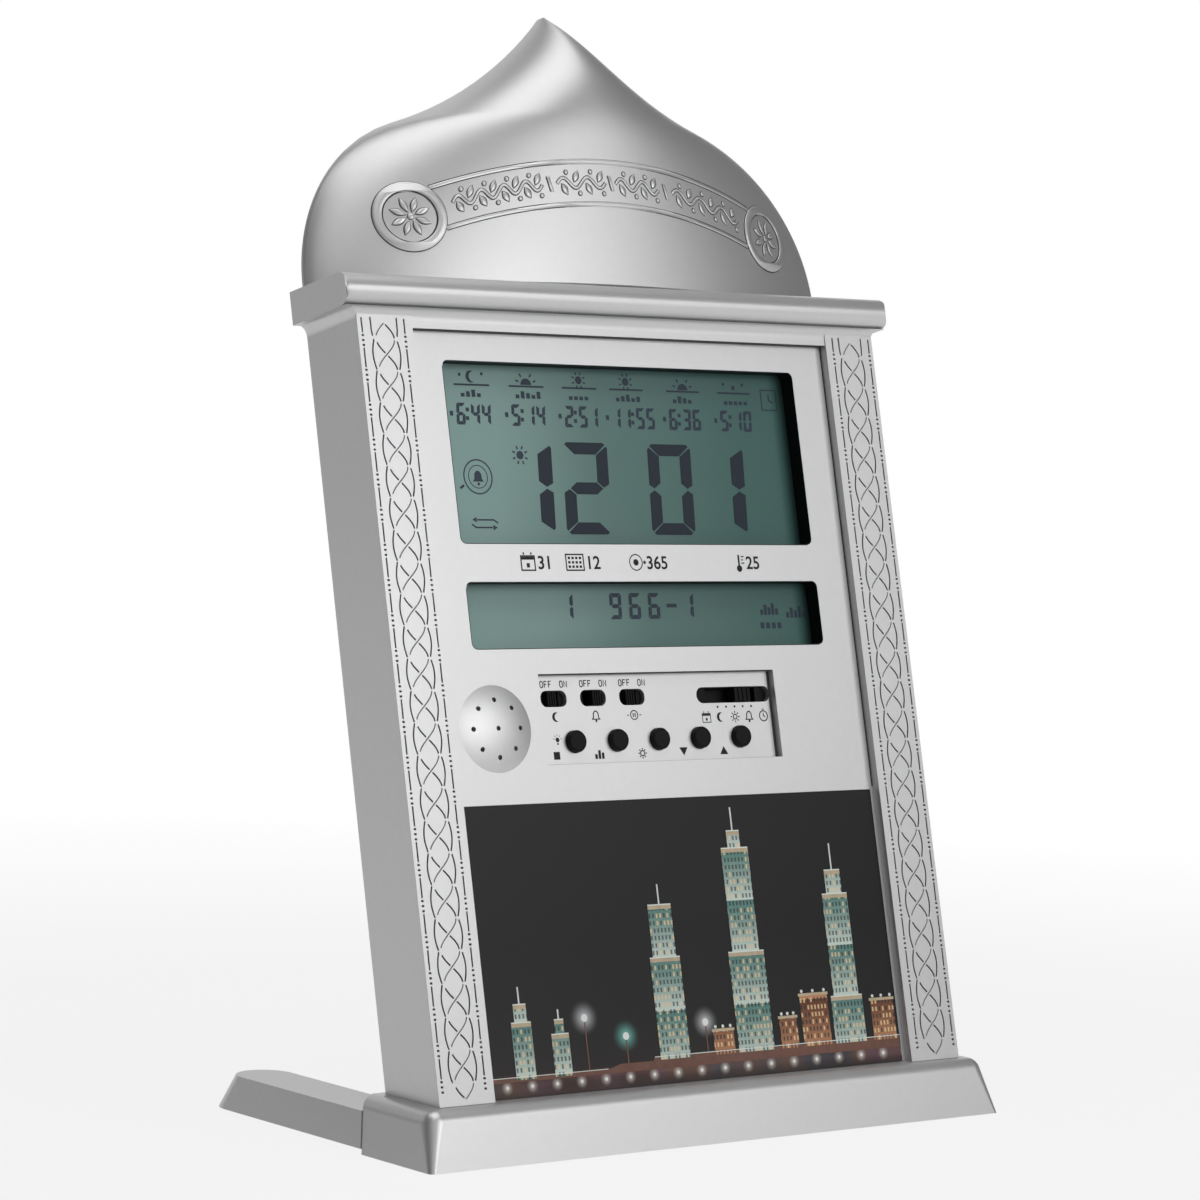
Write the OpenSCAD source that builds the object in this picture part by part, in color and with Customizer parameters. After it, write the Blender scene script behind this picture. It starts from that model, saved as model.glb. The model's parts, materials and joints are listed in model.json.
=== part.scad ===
// Dome-topped table and wall clock with two displays, on a level plinth with fold-out legs.
// X runs across the clock, Y from front to back and Z up. The origin is on the table,
// under the middle of the whole clock's footprint with its legs out.

/* [Body] */
// Width of the leaning body over its two columns
body_w = 190; // [186:1:196]
// Height of the body from the plinth to the cornice, along its face
body_h = 218; // [217:1:240]
// Depth of the body from the face of the columns to its back
body_d = 24.4; // [24:0.2:32]
// How far the body leans back from upright, in degrees
lean = 13.6; // [8:0.2:18]
// Width of each column beside the face panel
column_w = 18.7; // [18:0.1:20]
// How far the face panel lies behind the columns
face_recess = 2.4; // [1.8:0.1:3]
// Thickness of the housing's side and top walls
wall = 2.2; // [1.8:0.1:2.6]

/* [Cornice] */
// How far each flat end of the cornice stands out from the side of the body
cornice_out = 4.4; // [3.5:0.1:8]
// Height of the half-round nose of the cornice
nose_h = 9.6; // [8:0.1:12]
// How far the nose stands out in front of the columns
nose_out = 4.3; // [3:0.1:6]
// Height of the hollow moulding under the nose
cove_h = 3.4; // [2:0.1:5]
// How far the hollow moulding spreads from the body
cove_out = 2.2; // [1:0.1:2.4]
// Radius on the upright corners of the cornice
cornice_corner_r = 1.6; // [0.5:0.1:3]

/* [Dome] */
// Distance from each end of the cornice to the foot of the dome
dome_inset = 4.6; // [3:0.1:8]
// Height of the dome over the cornice
dome_h = 87.6; // [84:0.2:96]
// Depth of the dome from its back to the middle of its front
dome_bulge = 25; // [23:0.2:30]
// Radius of the dome's round shoulders, seen from the front
shoulder_r = 52.3; // [48:0.1:56]
// Radius of the hollow sweep from the shoulders to the tip
sweep_r = 135; // [120:1:170]
// Straight height at the foot of the dome
dome_skirt = 2; // [1:0.1:4]
// Height over which the front falls back to the tip
tip_fall = 45; // [40:0.5:50]
// Depth left at the very tip
tip_d = 2.4; // [2:0.1:5]
// Power of that curve, where 1 is a straight slope
tip_curve = 2.8; // [2:0.1:4]
// Thickness of the dome shell
dome_wall = 2.2; // [1.8:0.1:2.6]

/* [Plinth] */
// How far the foot of the plinth stands out from each side of the body
plinth_out = 8.7; // [8:0.1:13]
// Depth of the plinth at the table
plinth_d = 32.6; // [32:0.2:38]
// Height of the plinth
plinth_h = 15.8; // [15.6:0.1:20]
// Slope of the plinth's front face from upright, in degrees
front_slope = 18; // [10:0.5:20]
// Slope of the plinth's sides from upright, in degrees
side_slope = 9.5; // [5:0.5:11]
// Radius along the top edges of the plinth
plinth_edge_r = 4.5; // [3:0.1:5]
// Radius on the upright front corners of the plinth
plinth_corner_r = 1.8; // [1:0.1:3]
// Thickness of the plinth's side and front walls
plinth_wall = 2.2; // [1.8:0.1:2.6]
// Thickness of the plate that closes the plinth from below
base_t = 1.5; // [1.2:0.1:1.8]
// Distance from the plinth's foot to the front of the columns, at the top of the plinth
front_setback = 9.35; // [8:0.05:10]

/* [Legs] */
// Width of each leg at its underside
leg_w = 20.5; // [18:0.1:21]
// Height of each leg
leg_h = 10; // [8:0.1:10]
// Gap between the ends of the two legs when they are folded in
leg_tip_gap = 8.2; // [4:0.2:40]
// Slope of the rounded end of a leg, in degrees
leg_end_slope = 35; // [20:1:40]
// Diameter of the upright pins that the legs turn on
leg_pin_d = 4; // [3:0.1:4.5]
// Diameter of the rubber pad under each leg
pad_d = 9; // [7:0.5:11]

/* [Face] */
// Thickness of the face panel
face_t = 2.2; // [1.8:0.1:2.4]
// Distance from each column to the two display windows
window_margin = 11.7; // [10.5:0.1:16]
// How far both windows lie to the side of the middle
window_shift = -0.8; // [-2:0.1:2]
// Distance from the top of the columns down to the time window
time_margin = 10.2; // [8.2:0.1:14]
// Height of the time window
time_h = 52.4; // [48:0.2:54]
// Distance between the time window and the date window
date_gap = 11; // [9.8:0.1:14]
// Height of the date window
date_h = 19; // [16:0.2:20]
// Distance between the date window and the control window
control_gap = 7.4; // [7:0.1:12]
// Radius in the corners of both windows
window_r = 1.8; // [1:0.1:3]
// Distance between the control window and the picture
picture_gap = 10.8; // [6:0.1:30]
// Distance from each column to the picture
picture_margin = 1.4; // [0.8:0.1:6]
// Thickness of the picture card
picture_t = 0.8; // [0.5:0.1:1.2]
// Depth of the shallow pocket that the picture lies in
picture_pocket = 0.6; // [0.4:0.1:0.8]

/* [Displays] */
// Depth of the display glass behind the face of the panel
display_sink = 5.6; // [5:0.1:6]
// Thickness of the display glass
glass_t = 2.6; // [2:0.1:2.8]
// How far the display glass reaches past its window
glass_margin = 3.6; // [3:0.1:3.8]
// Thickness of the light panel behind each glass
light_t = 2.4; // [2:0.1:2.6]
// Thickness of the circuit boards
board_t = 1.6; // [1.2:0.1:1.6]

/* [Controls] */
// Width of the control window
control_w = 86.5; // [85:0.1:88]
// Height of the control window
control_h = 25.8; // [25:0.1:27]
// Distance between the speaker grille and the control window
grille_gap = 4.5; // [4:0.1:7]
// Thickness of the control plate
control_t = 1.5; // [1.2:0.1:2]
// Diameter of the push button caps
button_d = 6.3; // [5:0.1:7]
// How far the push buttons stand out of the control plate
button_out = 2; // [1:0.1:3]
// How far a push button travels
button_travel = 0.7; // [0.3:0.05:0.9]
// Spacing of the push buttons
button_pitch = 15.2; // [14:0.1:15.6]
// How far an on and off switch travels
switch_travel = 2; // [1.5:0.1:2.6]
// Width of the knob of an on and off switch
switch_knob_w = 3; // [2:0.1:3.4]
// Spacing of the on and off switches
switch_pitch = 14.1; // [13.4:0.1:14.4]
// Distance from the left end of the control window to its first switch
switch_margin = 6.3; // [5.6:0.1:7]
// Spacing of the five places of the selector
selector_pitch = 3.2; // [2.8:0.1:3.3]
// Width of the selector's knob
selector_knob_w = 5.8; // [5:0.1:6.4]
// Distance from the right end of the control window to the middle of the selector
selector_margin = 14.4; // [14:0.1:16]
// Height of the switch slots in the control plate
slot_h = 4.7; // [4.4:0.1:5]

/* [Sound] */
// Diameter of the speaker's domed grille
grille_d = 24.8; // [22:0.2:25.4]
// How far the grille bulges from the face panel
grille_out = 1.6; // [1:0.1:2.2]
// Diameter of the holes in the grille
grille_hole_d = 1.4; // [1:0.1:1.8]
// Radius of the ring of eight grille holes
grille_ring_r = 8.1; // [7:0.1:8.6]
// Distance from the left column to the middle of the grille
grille_margin = 15.6; // [14:0.1:18]

/* [Power] */
// Diameter of a battery cell
cell_d = 14.2; // [13.8:0.1:14.5]
// Length of a battery cell's can
cell_l = 49.2; // [48:0.1:50]
// Height of the battery bay's centre above the plinth, along the back
battery_z = 48; // [44:1:60]
// Spacing of the two keyholes in the back
keyhole_pitch = 90; // [60:5:110]
// Distance from the keyholes up to the top of the columns
keyhole_drop = 24; // [20:1:40]
// Diameter of the round part of a keyhole
keyhole_d = 8; // [7:0.5:9]
// Thickness of the rear covers
cover_t = 2.2; // [1.8:0.1:2.4]

/* [Fits] */
// Gap round covers and plates that drop into an edge
seat_gap = 0.2; // [0.1:0.05:0.3]
// Gap between a moving piece and what it slides along
slide_gap = 0.15; // [0.1:0.05:0.25]
// Radial clearance of a leg on its pin
pin_gap = 0.06; // [0.02:0.01:0.1]
// Gap over a folded leg inside the plinth
leg_gap = 0.3; // [0.2:0.05:0.4]

/* [Hidden] */
$fn = 48;

silver = [0.77, 0.77, 0.78];
black = [0.08, 0.08, 0.09];
steel = [0.72, 0.73, 0.75];
board_green = [0.10, 0.36, 0.22];
eps = 0.01;
far = 400;

// Widths of the main parts
cornice_w = body_w + 2 * cornice_out;
dome_w = cornice_w - 2 * dome_inset;
plinth_w = body_w + 2 * plinth_out;
panel_w = body_w - 2 * column_w;
window_w = panel_w - 2 * window_margin;
picture_w = panel_w - 2 * picture_margin;

// Heights along the leaning face
nose_z = body_h + cove_h;
cornice_top = nose_z + nose_h;
housing_roof = cornice_top - wall;
header_h = 2;
panel_top = body_h - header_h;
time_z = body_h - time_margin - time_h / 2;
date_z = time_z - time_h / 2 - date_gap - date_h / 2;
control_z = date_z - date_h / 2 - control_gap - control_h / 2;
picture_h = control_z - control_h / 2 - picture_gap;

// Depths from the front of the columns, along the body's depth
panel_back = face_recess + face_t;
glass_y = face_recess + display_sink;
light_y = glass_y + glass_t;
light_room = 1;
board_y = light_y + light_t + light_room;
control_back = panel_back + control_t;
switch_case_d = 5.5;
control_board_y = control_back + switch_case_d;
cover_y = body_d - cover_t;
well_d = 3.8;
well_floor = 1.4;
post_end = body_d - well_d - well_floor;

// The plinth and the two legs
leg_z = base_t;
plinth_roof = leg_z + leg_h + leg_gap;
leg_rear_gap = 0.15;
leg_pivot_x = plinth_w / 2 - leg_w / 2;
leg_pivot_y = plinth_d - leg_w / 2 - leg_rear_gap;
leg_tip = leg_pivot_x - leg_tip_gap / 2;
front_y = -(leg_pivot_y + leg_tip) / 2;
leg_root_r = leg_w / 2 - plinth_wall - plinth_roof * tan(side_slope) - leg_gap;
pad_y = leg_tip - leg_w / 2 - 1;
boss_r = 2.5;
boss_gap = 0.5;
boss_y = leg_pivot_y - leg_w / 2 - boss_r - boss_gap;

// Screws and their holes
screw_r = 1.2;
hole_gap = 0.3;
head_r = 2.6;
head_h = 1.6;
post_r = 3.2;
well_r = 3;
well_wall = 1.2;
cover_screw_l = 7;
joint_screw_l = 8;
foot_screw_l = 10;
base_screw_l = 8;
countersink = 1.1;
small_screw_r = 0.9;
small_screw_l = 5;
small_head_r = 1.9;
small_head_h = 1.2;
housing_post_x = body_w / 2 - 8.5;
low_post_z = 32;
high_post_z = body_h - 14;
housing_posts = [for (s = [-1, 1], z = [low_post_z, (low_post_z + high_post_z) / 2, high_post_z])
    [s * housing_post_x, z]];
dome_post_x = dome_w / 2 - 39.8;
dome_posts = [[-dome_post_x, cornice_top + 16], [dome_post_x, cornice_top + 16],
    [0, cornice_top + dome_h - 36]];
dome_joint_x = dome_w / 2 - 32.8;
dome_joint_y = body_d - 9;
dome_boss_h = 10;
foot_screw_x = body_w / 2 - 11;
foot_screw_y = leg_pivot_y + leg_pin_d / 2 + head_r + hole_gap + 1.2;
foot_block = [12, 18];
pin_grip = 2.4;
base_screw_x = [for (s = [-1, 1], x = [plinth_w / 2 - 76.7, plinth_w / 2 - 23.7]) s * x];

// Centre lines of the grille and the controls
grille_x = -panel_w / 2 + grille_margin;
grille_z = control_z - 2.3;
control_left = grille_x + grille_d / 2 + grille_gap;
control_right = control_left + control_w;
control_x = (control_left + control_right) / 2;
switch_x = [for (i = [0:2]) control_left + switch_margin + i * switch_pitch];
switch_z = control_z + 6.1;
button_x = [for (i = [-2:2]) control_x - 0.7 + i * button_pitch];
button_z = control_z - 6.3;
selector_x = control_right - selector_margin;
selector_slot_w = selector_knob_w + 4 * selector_pitch + 8.9;
selector_rest = 1;
control_plate_x = [control_left - 2.4, control_right + 4];
control_plate_z = [control_z - control_h / 2 - 3.2, control_z + control_h / 2 + 1.2];
control_post_r = 1.8;
control_posts = [control_left + 1.8, switch_x[2] + 12.2, control_right + 0.5];
knob_h = slot_h - 0.7;
knob_sink = 2.5;
tact_w = 6;
tact_h = 3.5;
stem_r = 1.6;
stem_sink = 0.8;

// The two display stacks
time_glass = [window_w + 2 * glass_margin, time_h + 2 * glass_margin];
date_glass = [window_w + 2 * glass_margin, date_h + 2 * glass_margin];
glasses = [[time_z, time_glass], [date_z, date_glass]];
frame_wall = 1.4;
frame_w = time_glass[0] + 2 * frame_wall + 2 * seat_gap;
frame_z = [date_z - date_glass[1] / 2 - seat_gap - frame_wall,
    time_z + time_glass[1] / 2 + seat_gap + frame_wall];
connector_h = 2;
board_post_r = 2.2;
board_post_x = frame_w / 2 + board_post_r + hole_gap;
board_w = 2 * (board_post_x + board_post_r + 0.3);
board_z = [frame_z[0] + 1, frame_z[1] + 1];
board_posts = [for (s = [-1, 1], z = [board_z[0] + 4, board_z[1] - 4])
    [window_shift + s * board_post_x, z]];

// The battery bay
bay_wall = 1.4;
bay_depth_gap = 0.1;
cell_y = cover_y - cell_d / 2 - bay_depth_gap;
bay_floor = cell_y - cell_d / 2;
contact_t = 0.4;
nub_l = 1;
spring_l = 5;
bay_l = cell_l + nub_l + spring_l + 2 * contact_t;
bay_h = 2 * cell_d + 1;
cell_pitch = cell_d + 0.4;
door_t = 1.2;
door_ledge = 2;

function arc(c, r, a0, a1, n) =
    [for (i = [0:n]) let (a = a0 + (a1 - a0) * i / n) [c[0] + r * cos(a), c[1] + r * sin(a)]];

// Outline of one half of the dome: a shoulder arc that runs into a hollow sweep to the tip
sweep_n = 14;
shoulder_c = [dome_w / 2 - shoulder_r, dome_skirt];
arc_span = shoulder_r + sweep_r;
tip_gap = norm([shoulder_c[0], dome_h - shoulder_c[1]]);
tip_dir = [-shoulder_c[0], dome_h - shoulder_c[1]] / tip_gap;
sweep_along = (arc_span * arc_span - sweep_r * sweep_r + tip_gap * tip_gap) / (2 * tip_gap);
sweep_aside = sqrt(arc_span * arc_span - sweep_along * sweep_along);
sweep_c = shoulder_c + sweep_along * tip_dir + sweep_aside * [tip_dir[1], -tip_dir[0]];
meet_a = atan2(sweep_c[1] - shoulder_c[1], sweep_c[0] - shoulder_c[0]);
tip_a = 360 + atan2(dome_h - sweep_c[1], -sweep_c[0]);
sweep_pts = arc(sweep_c, sweep_r, meet_a + 180, tip_a, sweep_n);
dome_outline = concat([[dome_w / 2, 0]], arc(shoulder_c, shoulder_r, 0, meet_a, 10),
    [for (i = [1:sweep_n - 1]) sweep_pts[i]], [[0.5, dome_h - 0.3]]);
hollow_outline = [for (p = dome_outline) if (p[0] > 3 * dome_wall) p];

// Outline of the plate that closes the back of the dome, shrunk by a gap
plate_inset = dome_wall + 1.2;
function dome_plate(gap) = let (edge = [for (p = hollow_outline)
        [p[0] - plate_inset - gap, max(p[1], dome_wall + gap)]])
    concat(edge, [for (i = [len(edge) - 1:-1:0]) [-edge[i][0], edge[i][1]]]);

// Depth of the dome at a height, full up to near the tip
fall_z = dome_h - tip_fall;
function dome_depth(z) = dome_bulge
    - (dome_bulge - tip_d) * pow(max(0, z - fall_z) / tip_fall, tip_curve);

// One level section of the dome: a pillow curve over half_w, open to the back by tail
pillow = 1.43;
section_n = 24;
function dome_section(half_w, depth, z, tail) = concat(
    tail > 0 ? [[-half_w, body_d + tail, z]] : [],
    [for (j = [0:section_n]) let (a = -90 + 180 * j / section_n)
        [half_w * sin(a), body_d - depth * pow(max(0, cos(a)), pillow), z]],
    tail > 0 ? [[half_w, body_d + tail, z]] : []);

// Skin over a stack of sections that all have the same count of points
module loft(rings) {
    n = len(rings[0]);
    m = len(rings);
    points = [for (ring = rings, p = ring) p];
    sides = [for (i = [0:m - 2], j = [0:n - 1]) let (k = (j + 1) % n)
        each [[i * n + j, (i + 1) * n + j, (i + 1) * n + k], [i * n + j, (i + 1) * n + k, i * n + k]]];
    ends = [[for (j = [0:n - 1]) j], [for (j = [n - 1:-1:0]) (m - 1) * n + j]];
    polyhedron(points = points, faces = concat(ends, sides));
}

// Box between two corners, each range given as [low, high]
module slab(x, y, z) {
    translate([x[0], y[0], z[0]]) cube([x[1] - x[0], y[1] - y[0], z[1] - z[0]]);
}

// Round bar along the depth of the body
module rod(x, z, r, y) {
    translate([x, y[0], z]) rotate([-90, 0, 0]) cylinder(r = r, h = y[1] - y[0]);
}

// Plate or window with round corners, across the depth of the body
module rounded(x, z, w, h, r, y) {
    translate([x, y[1], z]) rotate([90, 0, 0]) linear_extrude(y[1] - y[0]) union() {
        square([w - 2 * r, h], center = true);
        square([w, h - 2 * r], center = true);
        for (sx = [-1, 1], sz = [-1, 1]) translate([sx * (w / 2 - r), sz * (h / 2 - r)]) circle(r);
    }
}

// The body's own frame: its face leans back, with the plinth's top at height 0
module leaning() {
    translate([0, front_y + front_setback, plinth_h]) rotate([-lean, 0, 0]) children();
}

// All space above the plinth, in the body's own frame
module above_plinth(gap = 0) {
    rotate([lean, 0, 0]) translate([-far / 2, -far / 2, gap]) cube(far);
}

// Cornice: a front moulding crossed with a side moulding, so that the corners are mitred
module cornice() {
    nose_r = nose_h / 2;
    intersection() {
        translate([-far / 4, 0, 0]) rotate([90, 0, 90]) linear_extrude(far / 2) union() {
            translate([nose_r - nose_out, nose_z + nose_r]) circle(nose_r);
            translate([nose_r - nose_out, nose_z]) square([body_d + nose_out - nose_r, nose_h]);
            polygon(concat([[body_d, body_h]],
                [for (a = [0:10:90]) [-cove_out + cove_out * cos(a), body_h + cove_h * sin(a)]],
                [[-cove_out, nose_z + eps], [body_d, nose_z + eps]]));
        }
        union() {
            translate([0, 0, nose_z]) linear_extrude(nose_h) cornice_plan();
            for (s = [0, 1]) mirror([s, 0, 0]) translate([0, body_d, 0]) rotate([90, 0, 0])
                linear_extrude(body_d + nose_out) polygon(concat([[0, body_h]],
                    [for (a = [0:10:90]) [body_w / 2 + cove_out - cove_out * cos(a), body_h + cove_h * sin(a)]],
                    [[body_w / 2 + cove_out, nose_z + eps], [0, nose_z + eps]]));
        }
    }
}

module cornice_plan() {
    r = cornice_corner_r;
    union() {
        translate([-cornice_w / 2, -nose_out + r]) square([cornice_w, body_d + nose_out - r]);
        translate([-cornice_w / 2 + r, -nose_out]) square([cornice_w - 2 * r, r + eps]);
        for (s = [-1, 1]) translate([s * (cornice_w / 2 - r), -nose_out + r]) circle(r);
    }
}

// Columns, side walls, cornice and posts, moulded in one and open to the back
module front_housing() {
    inner_x = body_w / 2 - wall;
    opening_x = body_w / 2 - column_w;
    color(silver) leaning() difference() {
        union() {
            difference() {
                union() {
                    intersection() {
                        slab([-body_w / 2, body_w / 2], [0, body_d], [-body_d, nose_z + eps]);
                        above_plinth();
                    }
                    cornice();
                }
                slab([-inner_x, inner_x], [face_recess, far], [-far, housing_roof]);
                slab([-opening_x, opening_x], [-far, face_recess + eps], [-far, panel_top]);
            }
            for (p = housing_posts) rod(p[0], p[1], post_r, [face_recess, post_end]);
            intersection() {
                for (s = [0, 1]) mirror([s, 0, 0])
                    slab([inner_x - foot_block[0], inner_x + eps], [panel_back + hole_gap, cover_y - hole_gap],
                        [-far, foot_block[1]]);
                above_plinth();
            }
        }
        for (p = housing_posts) rod(p[0], p[1], screw_r, [post_end - cover_screw_l, post_end + eps]);
        rotate([lean, 0, 0]) for (s = [-1, 1])
            translate([s * foot_screw_x, foot_screw_y - front_setback, -far / 2])
                cylinder(r = screw_r, h = far / 2 + foot_screw_l);
        for (s = [-1, 1]) translate([s * dome_joint_x, dome_joint_y, housing_roof - eps])
            cylinder(r = screw_r + hole_gap, h = far);
    }
}

// Face panel with its windows, its domed grille and the posts for the main board
module face_panel() {
    panel_x = panel_w / 2 + 2;
    grille_t = 1.4;
    cap_r = (pow(grille_d / 2, 2) + grille_out * grille_out) / (2 * grille_out);
    cap_y = face_recess - grille_out + cap_r;
    color(silver) leaning() difference() {
        union() {
            intersection() {
                slab([-panel_x, panel_x], [face_recess, panel_back], [-body_d, panel_top + 3]);
                above_plinth();
            }
            intersection() {
                translate([grille_x, cap_y, grille_z]) sphere(cap_r, $fn = 96);
                rod(grille_x, grille_z, grille_d / 2, [face_recess - grille_out - 1, face_recess + eps]);
            }
            for (p = board_posts) rod(p[0], p[1], board_post_r, [panel_back - eps, board_y]);
        }
        intersection() {
            translate([grille_x, cap_y, grille_z]) sphere(cap_r - grille_t, $fn = 96);
            rod(grille_x, grille_z, grille_d / 2 - grille_t, [face_recess - grille_out - 1, panel_back + eps]);
        }
        rod(grille_x, grille_z, grille_hole_d / 2, [-body_d, panel_back]);
        for (i = [0:7]) rod(grille_x + grille_ring_r * cos(45 * i),
            grille_z + grille_ring_r * sin(45 * i), grille_hole_d / 2, [-body_d, panel_back]);
        rounded(window_shift, time_z, window_w, time_h, window_r, [-body_d, body_d]);
        rounded(window_shift, date_z, window_w, date_h, window_r, [-body_d, body_d]);
        slab([control_left, control_right], [-body_d, body_d],
            [control_z - control_h / 2, control_z + control_h / 2]);
        slab([-picture_w / 2 - seat_gap / 2, picture_w / 2 + seat_gap / 2],
            [-body_d, face_recess + picture_pocket], [-body_d, picture_h + seat_gap / 2]);
        for (p = board_posts) rod(p[0], p[1], small_screw_r, [board_y - small_screw_l - 1, board_y + eps]);
    }
}

module picture_card() {
    card_y = face_recess + picture_pocket - picture_t;
    color([0.10, 0.10, 0.13]) leaning() intersection() {
        slab([-picture_w / 2, picture_w / 2], [card_y, card_y + picture_t], [-body_d, picture_h]);
        above_plinth(seat_gap / 2);
    }
}

// Hollow onion dome, open to the back, with screw posts and two joint bosses in its floor
module dome_shell() {
    color(silver) leaning() difference() {
        union() {
            difference() {
                translate([0, 0, cornice_top])
                    loft([for (p = dome_outline) dome_section(p[0], dome_depth(p[1]), p[1], 0)]);
                translate([0, 0, cornice_top]) loft([for (p = hollow_outline)
                    dome_section(p[0] - dome_wall, dome_depth(p[1]) - dome_wall,
                        max(p[1], dome_wall), 1)]);
                translate([0, body_d + 1, cornice_top]) rotate([90, 0, 0])
                    linear_extrude(cover_t + 1) polygon(dome_plate(0));
            }
            intersection() {
                translate([0, 0, cornice_top])
                    loft([for (p = dome_outline) dome_section(p[0], dome_depth(p[1]), p[1], 0)]);
                union() {
                    for (p = dome_posts) rod(p[0], p[1], post_r, [-5, post_end]);
                    for (s = [-1, 1]) translate([s * dome_joint_x, dome_joint_y, cornice_top])
                        cylinder(r = post_r, h = dome_boss_h);
                }
            }
        }
        for (p = dome_posts) rod(p[0], p[1], screw_r, [post_end - cover_screw_l, post_end + eps]);
        for (s = [-1, 1]) translate([s * dome_joint_x, dome_joint_y, cornice_top - eps])
            cylinder(r = screw_r, h = joint_screw_l);
    }
}

// Boss that lets a screw head sit below the back face of a cover
module well_body(p) {
    rod(p[0], p[1], well_r + well_wall, [post_end, cover_y + eps]);
}

module well_hole(p) {
    rod(p[0], p[1], screw_r + hole_gap, [post_end - eps, far]);
    rod(p[0], p[1], well_r, [post_end + well_floor, far]);
}

// Plate that closes the back of the dome
module dome_cover() {
    color(silver) leaning() difference() {
        union() {
            translate([0, body_d, cornice_top]) rotate([90, 0, 0])
                linear_extrude(cover_t) polygon(dome_plate(seat_gap));
            for (p = dome_posts) well_body(p);
        }
        for (p = dome_posts) well_hole(p);
    }
}

// Round head hole with a narrow slot above it, to hang the clock on a screw
module keyhole(x, z) {
    neck_r = keyhole_d / 4;
    rod(x, z, keyhole_d / 2, [cover_y - 1, far]);
    rod(x, z + keyhole_d, neck_r, [cover_y - 1, far]);
    slab([x - neck_r, x + neck_r], [cover_y - 1, far], [z, z + keyhole_d]);
}

// Back of the body, with the battery bay, the screw wells and two keyholes
module rear_cover() {
    half_w = body_w / 2 - wall - seat_gap;
    color(silver) leaning() difference() {
        union() {
            intersection() {
                slab([-half_w, half_w], [cover_y, body_d], [-body_d, housing_roof - seat_gap]);
                above_plinth(seat_gap / 2);
            }
            for (p = housing_posts) well_body(p);
            slab([-bay_l / 2 - bay_wall, bay_l / 2 + bay_wall], [bay_floor - bay_wall, cover_y + eps],
                [battery_z - bay_h / 2 - bay_wall, battery_z + bay_h / 2 + bay_wall]);
        }
        for (p = housing_posts) well_hole(p);
        slab([-bay_l / 2, bay_l / 2], [bay_floor, far], [battery_z - bay_h / 2, battery_z + bay_h / 2]);
        slab([-bay_l / 2 - door_ledge, bay_l / 2 + door_ledge], [body_d - door_t, far],
            [battery_z - bay_h / 2 - door_ledge, battery_z + bay_h / 2 + door_ledge]);
        for (s = [-1, 1]) keyhole(s * keyhole_pitch / 2, body_h - keyhole_drop);
    }
}

// Lid of the battery bay: it lies in a step of the rear cover and two tongues hold it
module battery_door() {
    half_l = bay_l / 2 + door_ledge - seat_gap;
    half_h = bay_h / 2 + door_ledge - seat_gap;
    tongue_z = bay_h / 2 - seat_gap;
    color(silver) leaning() difference() {
        union() {
            slab([-half_l, half_l], [body_d - door_t, body_d], [battery_z - half_h, battery_z + half_h]);
            for (s = [-1, 1]) slab([-8, 8], [cell_y + cell_d / 2 + 0.3, body_d - door_t + eps],
                [battery_z + s * (tongue_z - 0.6) - 0.6, battery_z + s * (tongue_z - 0.6) + 0.6]);
        }
        for (i = [0:2]) slab([-10, 10], [body_d - 0.5, far],
            [battery_z + half_h - 4 - 2.4 * i, battery_z + half_h - 3 - 2.4 * i]);
    }
}

// Round-edged plinth form, cut off along the slope of the clock's back
module plinth_form() {
    ez = plinth_h - plinth_edge_r;
    side_x = plinth_w / 2 - ez * tan(side_slope) - plinth_edge_r / cos(side_slope);
    nose_y = ez * tan(front_slope) + plinth_edge_r / cos(front_slope);
    r = plinth_corner_r;
    intersection() {
        hull() {
            for (s = [-1, 1]) translate([s * (plinth_w / 2 - r), r, 0]) cylinder(r = r, h = eps, $fn = 24);
            for (s = [-1, 1], y = [nose_y, 2 * plinth_d]) translate([s * side_x, y, ez])
                sphere(plinth_edge_r, $fn = 32);
            slab([-plinth_w / 2, plinth_w / 2], [2 * plinth_d - eps, 2 * plinth_d], [0, eps]);
        }
        rear_side();
    }
}

// All space in front of the plinth's sloped rear face
module rear_side(gap = 0) {
    translate([0, plinth_d + gap, 0]) rotate([-lean, 0, 0]) translate([-far / 2, -far, -far / 2]) cube(far);
}

// Hollow plinth, open below and to the back, where the folded legs go
module plinth_shell() {
    roof_x = plinth_w / 2 - plinth_roof * tan(side_slope) - plinth_wall;
    floor_x = plinth_w / 2 - plinth_wall;
    color(silver) translate([0, front_y, 0]) difference() {
        union() {
            difference() {
                plinth_form();
                hull() {
                    slab([-floor_x, floor_x], [plinth_wall, 2 * plinth_d], [-eps, 0]);
                    slab([-roof_x, roof_x], [plinth_roof * tan(front_slope) + plinth_wall, 2 * plinth_d],
                        [plinth_roof - eps, plinth_roof]);
                }
            }
            for (x = base_screw_x) translate([x, boss_y, base_t])
                cylinder(r = boss_r, h = plinth_roof - base_t + eps);
        }
        for (x = base_screw_x) translate([x, boss_y, 0]) cylinder(r = screw_r, h = base_screw_l);
        for (s = [-1, 1]) translate([s * leg_pivot_x, leg_pivot_y, plinth_roof - eps])
            cylinder(r = leg_pin_d / 2, h = pin_grip + hole_gap);
        for (s = [-1, 1]) translate([s * foot_screw_x, foot_screw_y, 0]) {
            cylinder(r = screw_r + hole_gap, h = far);
            cylinder(r = head_r + hole_gap, h = plinth_roof + head_h + seat_gap);
        }
    }
}

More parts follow.
